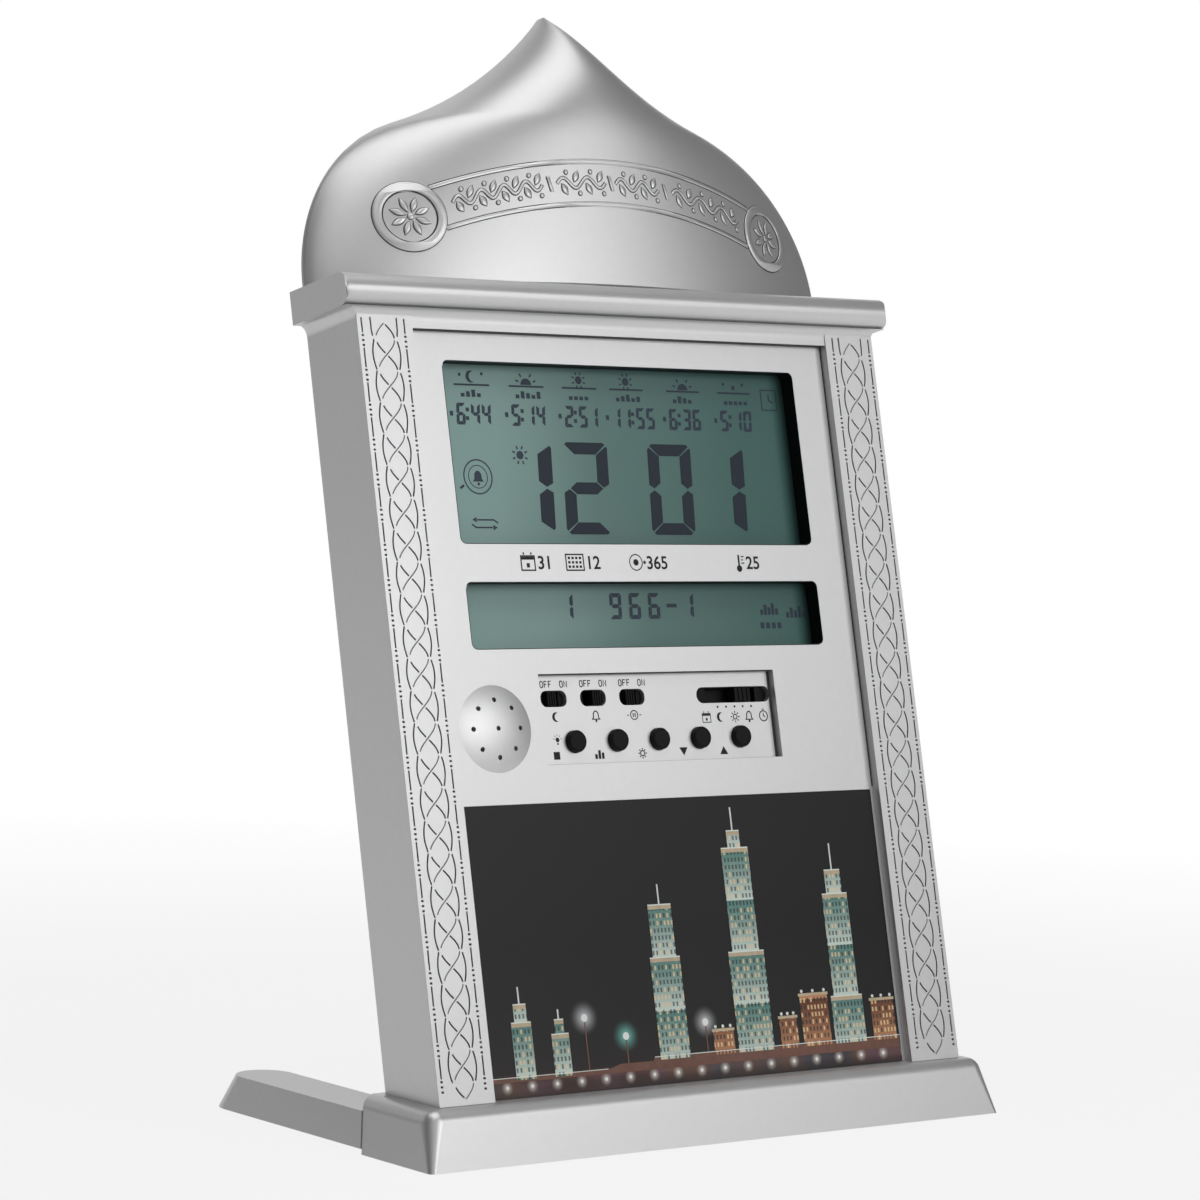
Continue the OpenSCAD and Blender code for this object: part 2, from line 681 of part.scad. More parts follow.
// Plate under the plinth, with a bay at its rear edge for the pads and a fingertip
module plinth_base() {
    half_w = plinth_w / 2 - plinth_wall - base_t * tan(side_slope) - seat_gap;
    bay_x = leg_pivot_x - pad_y + pad_d / 2 + 3;
    bay_y = leg_pivot_y - pad_d / 2 - 0.8;
    color(silver) translate([0, front_y, 0]) difference() {
        slab([-half_w, half_w], [plinth_wall + base_t * tan(front_slope) + 2 * seat_gap, plinth_d],
            [0, base_t]);
        slab([-bay_x, bay_x], [bay_y, far], [-eps, far]);
        for (x = base_screw_x) translate([x, boss_y, 0]) {
            translate([0, 0, -eps]) cylinder(r = screw_r + hole_gap, h = far);
            translate([0, 0, -eps]) cylinder(r1 = screw_r + hole_gap + countersink + eps,
                r2 = screw_r + hole_gap, h = countersink + eps);
        }
        for (s = [-1, 1]) translate([s * leg_pivot_x, leg_pivot_y, -eps])
            cylinder(r = leg_pin_d / 2, h = far);
    }
}

// Left leg about its own pivot: a bar with sloped sides and a round sloped end
module leg_form() {
    top_in = leg_h * tan(side_slope);
    end_in = leg_h * tan(leg_end_slope);
    half = leg_w / 2;
    tip_y = leg_tip - half;
    difference() {
        union() {
            hull() {
                translate([0, tip_y, 0]) cylinder(r = half, h = eps, $fn = 48);
                slab([-half, half], [0, tip_y], [0, eps]);
                translate([0, tip_y - end_in + top_in, leg_h - eps])
                    cylinder(r = half - top_in, h = eps, $fn = 48);
                slab([-half + top_in, half - top_in], [0, tip_y - end_in], [leg_h - eps, leg_h]);
            }
            cylinder(r = leg_root_r, h = leg_h);
        }
        difference() {
            slab([-far, -leg_root_r], [-far, far], [-eps, leg_h + eps]);
            translate([0, plinth_d - leg_pivot_y + leg_rear_gap, -leg_z]) rotate([-lean, 0, 0])
                slab([-far, far], [0, far], [-far, far]);
        }
        translate([0, 0, -eps]) cylinder(r = leg_pin_d / 2 + pin_gap, h = leg_h + 2 * eps);
    }
}

module at_left_pivot() {
    translate([-leg_pivot_x, front_y + leg_pivot_y, leg_z]) children();
}

module left_leg() {
    color(silver) at_left_pivot() leg_form();
}

module right_leg() {
    color(silver) mirror([1, 0, 0]) at_left_pivot() leg_form();
}

module leg_pin() {
    translate([-leg_pivot_x, front_y + leg_pivot_y, 0.2])
        cylinder(r = leg_pin_d / 2, h = plinth_roof + pin_grip - 0.2);
}

module left_leg_pin() {
    color(steel) leg_pin();
}

module right_leg_pin() {
    color(steel) mirror([1, 0, 0]) leg_pin();
}

module leg_pad() {
    at_left_pivot() translate([0, pad_y, -leg_z]) cylinder(r = pad_d / 2, h = leg_z);
}

module left_leg_pad() {
    color(black) leg_pad();
}

module right_leg_pad() {
    color(black) mirror([1, 0, 0]) leg_pad();
}

// Black frame that holds both glasses behind their windows
module display_frame() {
    half = frame_w / 2;
    color(black) leaning() difference() {
        slab([window_shift - half, window_shift + half], [panel_back, board_y - seat_gap], frame_z);
        rounded(window_shift, time_z, window_w + 2 * hole_gap, time_h + 2 * hole_gap,
            window_r + hole_gap, [0, far]);
        rounded(window_shift, date_z, window_w + 2 * hole_gap, date_h + 2 * hole_gap,
            window_r + hole_gap, [0, far]);
        for (g = glasses) glass(g[0], g[1], seat_gap, far);
    }
}

module glass(z, size, gap, back) {
    slab([window_shift - size[0] / 2 - gap, window_shift + size[0] / 2 + gap], [glass_y, back],
        [z - size[1] / 2 - gap, z + size[1] / 2 + gap]);
}

module time_display() {
    color([0.42, 0.55, 0.52]) leaning() glass(time_z, time_glass, 0, light_y);
}

module date_display() {
    color([0.42, 0.55, 0.52]) leaning() glass(date_z, date_glass, 0, light_y);
}

// Sheets of clear plastic that light the glasses from behind
module light_panels() {
    color([0.9, 0.92, 0.9]) leaning() for (g = glasses)
        slab([window_shift - g[1][0] / 2 + 1, window_shift + g[1][0] / 2 - 1], [light_y, light_y + light_t],
            [g[0] - g[1][1] / 2 + 0.6, g[0] + g[1][1] / 2 - connector_h - 0.8]);
}

// Rubber strips that join each glass to the main board
module display_connectors() {
    color([0.25, 0.25, 0.27]) leaning() for (g = glasses)
        slab([window_shift - g[1][0] / 2 + 5, window_shift + g[1][0] / 2 - 5], [light_y, board_y],
            [g[0] + g[1][1] / 2 - connector_h - 0.3, g[0] + g[1][1] / 2 - 0.3]);
}

module main_board() {
    color(board_green) leaning() difference() {
        slab([window_shift - board_w / 2, window_shift + board_w / 2], [board_y, board_y + board_t], board_z);
        for (p = board_posts) rod(p[0], p[1], small_screw_r + hole_gap, [0, far]);
    }
}

// Chip cover, crystal, two capacitors and a wire socket on the back of the main board
module board_components() {
    color([0.15, 0.15, 0.17]) leaning() translate([window_shift, board_y + board_t, date_z]) {
        rod(0, 14, 9, [0, 1.2]);
        rod(24, 14, 1.6, [0, 3.6]);
        rod(-24, 10, 2.5, [0, 4.4]);
        rod(-32, 10, 2.5, [0, 4.4]);
        slab([40, 52], [0, 4], [0, 5]);
    }
}

// Sunk plate with three switch slots, the selector slot and five button holes
module control_plate() {
    color(silver) leaning() difference() {
        union() {
            slab(control_plate_x, [panel_back, control_back], control_plate_z);
            for (x = control_posts) rod(x, control_z, control_post_r, [control_back - eps, control_board_y]);
        }
        for (x = switch_x) rounded(x, switch_z, switch_knob_w + switch_travel + 4.2, slot_h, slot_h / 2 - 0.3,
            [0, control_back + eps]);
        rounded(selector_x, switch_z, selector_slot_w, slot_h, slot_h / 2 - 0.1, [0, control_back + eps]);
        for (x = button_x) rod(x, button_z, button_d / 2 + slide_gap, [0, control_back + eps]);
        for (x = control_posts) rod(x, control_z, small_screw_r, [control_board_y - small_screw_l + 1, far]);
    }
}

module control_board() {
    color(board_green) leaning() difference() {
        slab(control_plate_x, [control_board_y, control_board_y + board_t],
            [control_plate_z[0] + seat_gap, control_plate_z[1] - seat_gap]);
        for (x = control_posts) rod(x, control_z, small_screw_r + hole_gap, [0, far]);
    }
}

// One slide switch case with a channel for its knob
module switch_case(x, w, channel) {
    half_h = knob_h / 2 + slide_gap;
    difference() {
        slab([x - w / 2, x + w / 2], [control_back, control_board_y],
            [switch_z - half_h - 1.2, switch_z + half_h + 1.2]);
        slab([x - channel / 2, x + channel / 2], [0, control_back + knob_sink],
            [switch_z - half_h, switch_z + half_h]);
    }
}

// Ribbed knob that stands just proud of the control plate
module knob(x, w) {
    y0 = panel_back - 0.5;
    difference() {
        slab([x - w / 2, x + w / 2], [y0, control_back + knob_sink - 0.1],
            [switch_z - knob_h / 2, switch_z + knob_h / 2]);
        for (s = [-1, 0, 1]) slab([x + s * w / 3.6 - 0.2, x + s * w / 3.6 + 0.2], [0, y0 + 0.3],
            [switch_z - far, switch_z + far]);
    }
}

module slide_switches() {
    color(black) leaning() for (x = switch_x)
        switch_case(x, switch_knob_w + switch_travel + 6, switch_knob_w + switch_travel + 2 * slide_gap);
}

module left_switch_knob() {
    color(black) leaning() knob(switch_x[0] - switch_travel / 2, switch_knob_w);
}

module middle_switch_knob() {
    color(black) leaning() knob(switch_x[1] + switch_travel / 2, switch_knob_w);
}

module right_switch_knob() {
    color(black) leaning() knob(switch_x[2] - switch_travel / 2, switch_knob_w);
}

module selector_switch() {
    color(black) leaning() switch_case(selector_x, selector_slot_w + 2,
        selector_knob_w + 4 * selector_pitch + 2 * slide_gap);
}

module selector_knob() {
    color(black) leaning() knob(selector_x + selector_rest * selector_pitch, selector_knob_w);
}

// Switches under the push buttons, each with a bore for a button's stem
module tact_switches() {
    color(black) leaning() for (x = button_x) difference() {
        slab([x - tact_w / 2, x + tact_w / 2], [control_board_y - tact_h, control_board_y],
            [button_z - tact_w / 2, button_z + tact_w / 2]);
        rod(x, button_z, stem_r + slide_gap, [0, control_board_y - tact_h + stem_sink + button_travel + 0.2]);
    }
}

// Turned cap with a collar behind the plate and a stem into its switch
module button(i) {
    r = button_d / 2;
    collar = r + 0.8;
    front = panel_back - button_out;
    stem_end = control_board_y - tact_h + stem_sink;
    color(black) leaning() translate([button_x[i], 0, button_z]) rotate([-90, 0, 0]) rotate_extrude()
        polygon([[0, front], [r - 0.9, front], [r - 0.3, front + 0.2], [r, front + 0.7],
            [r, control_back], [collar, control_back], [collar, control_back + 0.9],
            [stem_r, control_back + 0.9], [stem_r, stem_end], [0, stem_end]]);
}

module stop_button() {
    button(0);
}

module city_button() {
    button(1);
}

module set_button() {
    button(2);
}

module down_button() {
    button(3);
}

module up_button() {
    button(4);
}

// Pressed basket with its magnet
module speaker_frame() {
    r = grille_d / 2 + 0.7;
    color(steel) leaning() translate([grille_x, panel_back, grille_z]) rotate([-90, 0, 0]) rotate_extrude()
        polygon([[r - 2, 0], [r, 0], [r, 3.6], [6, 3.6], [6, 7.6], [0, 7.6], [0, 2.8],
            [r - 0.8, 2.8], [r - 0.8, 0.8], [r - 2, 0.8]]);
}

module speaker_cone() {
    r = grille_d / 2 - 0.2;
    color([0.2, 0.2, 0.22]) leaning() translate([grille_x, panel_back, grille_z]) rotate([-90, 0, 0])
        rotate_extrude()
            polygon([[0, 1.6], [3, 1.2], [6, 2], [r, 0.8], [r, 1.2], [6, 2.4], [5, 2.8], [0, 2.8]]);
}

// Battery cell with its end cap pointing to +X
module cell() {
    r = cell_d / 2;
    rotate([0, 90, 0]) rotate_extrude() polygon([[0, -cell_l / 2], [r - 0.6, -cell_l / 2],
        [r, -cell_l / 2 + 0.6], [r, cell_l / 2 - 0.6], [r - 0.6, cell_l / 2], [2.7, cell_l / 2],
        [2.7, cell_l / 2 + nub_l], [0, cell_l / 2 + nub_l]]);
}

cell_x = bay_l / 2 - contact_t - nub_l - cell_l / 2;

module upper_cell() {
    color([0.2, 0.25, 0.3]) leaning() translate([-cell_x, cell_y, battery_z + cell_pitch / 2])
        mirror([1, 0, 0]) cell();
}

module lower_cell() {
    color([0.2, 0.25, 0.3]) leaning() translate([cell_x, cell_y, battery_z - cell_pitch / 2]) cell();
}

// Four flat contact plates against the end walls of the battery bay
module battery_contacts() {
    x = bay_l / 2;
    color(steel) leaning() for (s = [-1, 1], t = [-1, 1])
        slab([s * (x - contact_t / 2) - contact_t / 2, s * (x - contact_t / 2) + contact_t / 2],
            [bay_floor + 0.1, bay_floor + cell_d - 2],
            [battery_z + t * cell_pitch / 2 - 5, battery_z + t * cell_pitch / 2 + 5]);
}

// Closed run of round wire along a tapering helix
module spring(turns, r0, r1, wire_r, length) {
    steps = 10;
    sides = 6;
    n = turns * steps;
    rings = [for (i = [0:n]) let (a = 360 * i / steps, r = r0 + (r1 - r0) * i / n,
            c = [r * cos(a), r * sin(a), wire_r + (length - 2 * wire_r) * i / n])
        [for (k = [0:sides - 1]) let (b = 360 * k / sides)
            c + wire_r * cos(b) * [cos(a), sin(a), 0] + wire_r * sin(b) * [0, 0, 1]]];
    loft(rings);
}

module contact_springs() {
    x = bay_l / 2 - contact_t;
    color(steel) leaning() for (s = [-1, 1])
        translate([s * x, cell_y, battery_z + s * cell_pitch / 2]) rotate([0, -90 * s, 0])
            spring(4, 4, 2.5, 0.35, spring_l - 0.1);
}

module screw(length) {
    cylinder(r = head_r, h = head_h);
    translate([0, 0, -length]) cylinder(r = screw_r, h = length + eps);
}

// Screws that hold both rear covers
module cover_screws() {
    color(steel) leaning() for (p = concat(housing_posts, dome_posts))
        translate([p[0], post_end + well_floor, p[1]]) rotate([-90, 0, 0]) screw(cover_screw_l);
}

// Screws that hold the body on the plinth, the dome on the cornice and the base plate
module plinth_screws() {
    color(steel) {
        translate([0, front_y, 0]) {
            for (s = [-1, 1]) translate([s * foot_screw_x, foot_screw_y, plinth_roof + head_h + seat_gap])
                mirror([0, 0, 1]) screw(foot_screw_l);
            for (x = base_screw_x) translate([x, boss_y, 0.1]) {
                cylinder(r1 = screw_r + countersink, r2 = screw_r, h = countersink);
                cylinder(r = screw_r, h = base_screw_l - 0.2);
            }
        }
        leaning() for (s = [-1, 1]) translate([s * dome_joint_x, dome_joint_y, housing_roof])
            mirror([0, 0, 1]) screw(joint_screw_l);
    }
}

module board_screws() {
    color(steel) leaning() {
        for (p = board_posts) translate([p[0], board_y + board_t, p[1]]) rotate([-90, 0, 0]) small_screw();
        for (x = control_posts) translate([x, control_board_y + board_t, control_z])
            rotate([-90, 0, 0]) small_screw();
    }
}

module small_screw() {
    cylinder(r = small_head_r, h = small_head_h);
    translate([0, 0, -small_screw_l]) cylinder(r = small_screw_r, h = small_screw_l + eps);
}

front_housing();
face_panel();
picture_card();
dome_shell();
dome_cover();
rear_cover();
battery_door();
plinth_shell();
plinth_base();
left_leg();
right_leg();
left_leg_pin();
right_leg_pin();
left_leg_pad();
right_leg_pad();
display_frame();
time_display();
date_display();
light_panels();
display_connectors();
main_board();
board_components();
control_plate();
control_board();
slide_switches();
selector_switch();
tact_switches();
left_switch_knob();
middle_switch_knob();
right_switch_knob();
selector_knob();
stop_button();
city_button();
set_button();
down_button();
up_button();
speaker_frame();
speaker_cone();
upper_cell();
lower_cell();
battery_contacts();
contact_springs();
cover_screws();
plinth_screws();
board_screws();
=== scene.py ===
"""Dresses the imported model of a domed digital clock: finishes, carving, displays, print and studio."""

import json
import math
from functools import partial

import bmesh
import bpy
from bpy.props import FloatProperty, FloatVectorProperty, IntProperty, PointerProperty
from mathutils import Matrix, Vector
from mathutils.bvhtree import BVHTree

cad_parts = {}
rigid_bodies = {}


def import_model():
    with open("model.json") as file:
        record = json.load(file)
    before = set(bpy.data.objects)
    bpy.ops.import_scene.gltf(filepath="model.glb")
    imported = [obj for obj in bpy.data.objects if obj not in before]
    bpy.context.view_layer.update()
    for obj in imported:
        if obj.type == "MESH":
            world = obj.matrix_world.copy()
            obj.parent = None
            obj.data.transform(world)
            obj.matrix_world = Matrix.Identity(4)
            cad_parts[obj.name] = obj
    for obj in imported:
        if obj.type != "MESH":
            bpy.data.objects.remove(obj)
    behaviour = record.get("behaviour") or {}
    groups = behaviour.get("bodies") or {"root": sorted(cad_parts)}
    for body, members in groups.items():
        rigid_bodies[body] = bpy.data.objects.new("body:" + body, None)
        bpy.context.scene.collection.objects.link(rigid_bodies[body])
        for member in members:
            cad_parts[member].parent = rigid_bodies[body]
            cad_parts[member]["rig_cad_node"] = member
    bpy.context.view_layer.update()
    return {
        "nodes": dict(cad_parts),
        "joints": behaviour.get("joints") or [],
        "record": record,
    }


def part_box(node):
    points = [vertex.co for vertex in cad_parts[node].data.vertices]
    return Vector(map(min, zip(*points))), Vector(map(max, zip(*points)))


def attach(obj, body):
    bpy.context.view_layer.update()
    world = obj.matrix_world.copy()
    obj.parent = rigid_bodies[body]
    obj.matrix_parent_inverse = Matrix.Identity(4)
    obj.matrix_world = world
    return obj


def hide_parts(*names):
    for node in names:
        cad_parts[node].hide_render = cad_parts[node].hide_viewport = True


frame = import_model()

bl_info = {
    "name": "Domed Digital Clock",
    "version": (1, 0, 0),
    "blender": (4, 5, 0),
    "location": "View3D > Sidebar > Clock",
    "description": "Builds the finish, carving, displays, print and studio of a domed digital clock",
    "category": "Object",
}

MM = 0.001
NODES = frame["nodes"]
# How far a point of the grille may lie off the ball that it is part of
BALL_SLACK = 0.06 * MM
# The print's row of lights, and its tall lamps with place, radius of the glow and colour, in millimetres
LIGHT_PITCH, LIGHT_ROW, LIGHT_START = 8.6, 3.6, -100
LAMPS = ((-41, 21, 5.2, (0.9, 0.92, 0.95)), (-27, 15, 5.0, (0.3, 0.85, 0.75)),
    (2, 17, 5.0, (0.9, 0.92, 0.95)))
SLOTS = {part["node"]: part["material_slot"] for part in frame["record"]["subparts"]}
BODY_OF = {node: body for body, nodes in frame["record"]["behaviour"]["bodies"].items() for node in nodes}
PRESS = next(joint for joint in frame["joints"] if joint["name"] == "stop_press")
INWARD = Vector(PRESS["axis"]).normalized()
ACROSS = Vector((1, 0, 0))
UPWARD = ACROSS.cross(INWARD)


# Sizes and colours

class ClockSizes(bpy.types.PropertyGroup):
    """Sizes of what is carved, raised and printed on the clock"""
    foot_y: FloatProperty(
        name="Column foot", description="Where the columns' face meets the plinth's top, front to back",
        default=-0.046425, unit="LENGTH")
    groove_width: FloatProperty(
        name="Groove width", description="Width of the carved lines on the columns",
        default=0.5 * MM, unit="LENGTH")
    groove_depth: FloatProperty(
        name="Groove depth", description="Depth of the carved lines on the columns",
        default=0.35 * MM, unit="LENGTH")
    weave_cell: FloatProperty(
        name="Weave cell", description="Height of one cell of the interlaced pattern on the columns",
        default=8.97 * MM, unit="LENGTH")
    bead_pitch: FloatProperty(
        name="Bead pitch", description="Spacing of the bead groups along the columns' border lines",
        default=9.83 * MM, unit="LENGTH")
    panel_depth: FloatProperty(
        name="Panel depth", description="How far the face panel lies behind the columns",
        default=2.4 * MM, unit="LENGTH")
    grille_radius: FloatProperty(
        name="Grille radius", description="Radius of the speaker's bulging grille",
        default=12.4 * MM, unit="LENGTH")
    grille_rise: FloatProperty(
        name="Grille rise", description="How far the grille bulges from the face panel",
        default=1.6 * MM, unit="LENGTH")
    grille_x: FloatProperty(
        name="Grille, across", description="Middle of the grille, from the middle of the face",
        default=-60.7 * MM, unit="LENGTH")
    grille_z: FloatProperty(
        name="Grille, height", description="Middle of the grille, up the face from the plinth",
        default=102.8 * MM, unit="LENGTH")
    relief_height: FloatProperty(
        name="Relief height", description="How far the dome's ornament stands out",
        default=0.45 * MM, unit="LENGTH")
    medallion_radius: FloatProperty(
        name="Medallion radius", description="Radius of the two medallions on the dome",
        default=10.4 * MM, unit="LENGTH")
    print_thickness: FloatProperty(
        name="Ink thickness", description="Thickness of the printed and displayed marks",
        default=0.04 * MM, unit="LENGTH")
    dome_cuts: IntProperty(
        name="Dome cuts", description="How often each facet of the dome's outside is divided",
        default=2, min=0, max=4)


class ClockColours(bpy.types.PropertyGroup):
    """Colours of the clock's finishes"""
    paint: FloatVectorProperty(
        name="Silver paint", description="Colour of the satin silver paint", subtype="COLOR",
        default=(0.62, 0.62, 0.625))
    black: FloatVectorProperty(
        name="Black plastic", description="Colour of the buttons, knobs and inner frames", subtype="COLOR",
        default=(0.006, 0.006, 0.007))
    # The two glass colours are the ends of the displays' painted shade, light at the left and dark at the
    # right.
    glass_light: FloatVectorProperty(
        name="Glass, light side", description="Colour of the displays at their left", subtype="COLOR",
        default=(0.28, 0.44, 0.41))
    glass_dark: FloatVectorProperty(
        name="Glass, dark side", description="Colour of the displays at their right", subtype="COLOR",
        default=(0.058, 0.147, 0.132))
    segment: FloatVectorProperty(
        name="Segments", description="Colour of the displays' dark marks", subtype="COLOR",
        default=(0.026, 0.036, 0.052))
    ink: FloatVectorProperty(
        name="Ink", description="Colour of the marks printed on the face", subtype="COLOR",
        default=(0.02, 0.02, 0.022))
    sky: FloatVectorProperty(
        name="Night sky", description="Colour of the print's sky", subtype="COLOR",
        default=(0.009, 0.009, 0.011))
    steel: FloatVectorProperty(
        name="Steel", description="Colour of screws, pins and contacts", subtype="COLOR",
        default=(0.55, 0.56, 0.58))


class ClockStudio(bpy.types.PropertyGroup):
    """Camera and lights"""
    camera_place: FloatVectorProperty(
        name="Camera", description="Where the camera stands", subtype="XYZ", unit="LENGTH",
        default=(-0.75242, -0.94989, 0.21282))
    camera_yaw: FloatProperty(
        name="Yaw", description="Heading of the camera, from straight back towards the right",
        default=math.radians(38.02), subtype="ANGLE")
    camera_pitch: FloatProperty(
        name="Pitch", description="Tilt of the camera above level",
        default=math.radians(-3.0), subtype="ANGLE")
    camera_roll: FloatProperty(
        name="Roll", description="Turn of the camera about its own axis",
        default=math.radians(2.0), subtype="ANGLE")
    lens: FloatProperty(
        name="Lens", description="Focal length in millimetres on a sensor 36 mm wide", default=125.36)
    front_power: FloatProperty(
        name="Front light", description="Power of the soft light in front", default=3.9)
    right_power: FloatProperty(
        name="Right light", description="Power of the soft light at the front right", default=2.2)
    left_power: FloatProperty(
        name="Left light", description="Power of the soft light at the upper left", default=1.4)
    top_power: FloatProperty(
        name="Top light", description="Power of the wide light overhead", default=11.5)
    back_power: FloatProperty(
        name="Back light", description="Power of the soft light behind at the left", default=1.2)
    sky_strength: FloatProperty(
        name="Room light", description="Strength of the even light from all sides", default=0.06)


def sizes():
    return bpy.context.scene.clock_sizes


def colours():
    return bpy.context.scene.clock_colours


def studio():
    return bpy.context.scene.clock_studio


# Shader maths

class Value:
    """A node's output that takes part in arithmetic: each operation adds a Math node."""

    def __init__(self, finish, socket):
        self.finish = finish
        self.socket = socket

    def by(self, operation, *others):
        values = dict(enumerate((self,) + others))
        return self.finish.add("ShaderNodeMath", {"operation": operation}, values)

    def __add__(self, other):
        return self.by("ADD", other)

    def __sub__(self, other):
        return self.by("SUBTRACT", other)

    def __rsub__(self, other):
        return self.finish.add("ShaderNodeMath", {"operation": "SUBTRACT"}, {0: other, 1: self})

    def __mul__(self, other):
        return self.by("MULTIPLY", other)

    def __truediv__(self, other):
        return self.by("DIVIDE", other)

    def __pow__(self, other):
        return self.by("POWER", other)

    def __lt__(self, other):
        return self.by("LESS_THAN", other)

    def __gt__(self, other):
        return self.by("GREATER_THAN", other)

    __radd__ = __add__
    __rmul__ = __mul__

    def limited(self):
        """The value held between 0 and 1."""
        return self.finish.add("ShaderNodeClamp", {}, {"Value": self})


class Finish:
    """A material built node by node on one Principled shader."""

    def __init__(self, name, **fixed):
        self.material = bpy.data.materials.new(name)
        self.material.use_nodes = True
        self.tree = self.material.node_tree
        self.shader = self.tree.nodes["Principled BSDF"]
        self.place = self.add("ShaderNodeTexCoord", output="Object")
        for key, value in fixed.items():
            self.shader.inputs[key.replace("_", " ")].default_value = value

    def add(self, kind, settings=None, inputs=None, output=0):
        node = self.tree.nodes.new(kind)
        for key, value in (settings or {}).items():
            if key == "stops":
                ramp = node.color_ramp
                while len(ramp.elements) < len(value):
                    ramp.elements.new(0.5)
                for element, (position, colour) in zip(ramp.elements, value):
                    element.position = position
                    element.color = (*colour, 1)
            else:
                setattr(node, key, value)
        for key, value in (inputs or {}).items():
            if isinstance(value, Value):
                self.tree.links.new(value.socket, node.inputs[key])
            else:
                node.inputs[key].default_value = value
        return Value(self, node.outputs[output])

    def feed(self, **links):
        for key, value in links.items():
            self.tree.links.new(value.socket, self.shader.inputs[key.replace("_", " ")])
        return self

    def vector(self, operation, first, second, output=0):
        return self.add("ShaderNodeVectorMath", {"operation": operation}, {0: first, 1: second}, output)

    def noise(self, scale, detail, stretch=(1, 1, 1)):
        place = self.place if stretch == (1, 1, 1) else self.vector("MULTIPLY", self.place, stretch)
        return self.add("ShaderNodeTexNoise", {}, {"Vector": place, "Scale": scale, "Detail": detail})

    def mixed(self, first, second, factor):
        colour = [(*v, 1) if isinstance(v, (tuple, list)) else v for v in (first, second)]
        return self.add("ShaderNodeMix", {"data_type": "RGBA"}, {0: factor, 6: colour[0], 7: colour[1]}, 2)

    def ramp(self, value, stops):
        return self.add("ShaderNodeValToRGB", {"stops": stops}, {0: value})

    def bump(self, height, distance, strength=0.3):
        return self.feed(Normal=self.add("ShaderNodeBump", {},
            {"Height": height, "Distance": distance, "Strength": strength}))

    def on_face(self):
        """Place on the leaning face in millimetres: across, up the face and into the body."""
        foot = Vector((0, sizes().foot_y, column_foot_z()))
        shift = self.vector("SUBTRACT", self.place, foot)
        return [self.vector("DOT_PRODUCT", shift, axis, 1) * 1000 for axis in (ACROSS, UPWARD, INWARD)]


def shade(colour, factor):
    return tuple(min(1, channel * factor) for channel in colour)


def column_foot_z():
    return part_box("plinth_shell")[1].z


# Drawing in millimetres on a flat sheet: a group is a list of outlines, and one inside another is a hole

def arc(x, y, radius, start, end, count):
    angles = [math.radians(start + (end - start) * i / count) for i in range(count + 1)]
    return [(x + radius * math.cos(a), y + radius * math.sin(a)) for a in angles]


def disc(x, y, radius, count):
    return [arc(x, y, radius, 0, 360, count)[:-1]]


def ring(x, y, radius, width, count):
    return disc(x, y, radius + width / 2, count) + disc(x, y, radius - width / 2, count)


def mirrored(side):
    """Outline with a side given at the right, and the same at the left."""
    return [(-x, y) for x, y in side] + side[::-1]


def bar(x0, y0, x1, y1):
    return [[(x0, y0), (x1, y0), (x1, y1), (x0, y1)]]


def leaf(x, y, length, width, angle):
    """A pointed leaf from its stem at x, y."""
    count = 8
    side = [(length * i / count, width / 2 * math.sin(math.pi * i / count)) for i in range(count + 1)]
    outline = side + [(px, -py) for px, py in side[-2:0:-1]]
    c, s = math.cos(math.radians(angle)), math.sin(math.radians(angle))
    return [[(x + px * c - py * s, y + px * s + py * c) for px, py in outline]]


def even_turns(count, shift=0.0):
    """Angles of the even parts of a whole turn."""
    return [2 * math.pi * (k + shift) / count for k in range(count)]


def strip(points, width, closed=False):
    """Outline of a line of even width along the points."""
    count = len(points)
    path = [Vector(p) for p in points]
    left, right = [], []
    for i, point in enumerate(path):
        ways = []
        if i > 0 or closed:
            ways.append((point - path[i - 1]).normalized())
        if i < count - 1 or closed:
            ways.append((path[(i + 1) % count] - point).normalized())
        mean = sum(ways, Vector((0, 0))).normalized()
        normal = Vector((-mean.y, mean.x))
        reach = width / 2 / max(0.5, abs(normal.dot(Vector((-ways[0].y, ways[0].x)))))
        left.append(tuple(point + normal * reach))
        right.append(tuple(point - normal * reach))
    return [left, right] if closed else [left + right[::-1]]


def rays(x, y, inner, outer, width, angles):
    """Short lines that point away from x, y."""
    return [strip([(x + r * math.cos(a), y + r * math.sin(a)) for r in (inner, outer)], width)
        for a in angles]


def moved(groups, dx, dy, scale=1.0, slant=0.0):
    """Groups scaled, slanted and moved."""
    return [[[(dx + scale * x + slant * scale * y, dy + scale * y) for x, y in outline]
        for outline in group] for group in groups]


# Seven-segment figures

LIT = {"0": "abcdef", "1": "bc", "2": "abged", "3": "abgcd", "4": "fgbc", "5": "afgcd", "6": "afgecd",
    "7": "abc", "8": "abcdefg", "9": "abcdfg"}


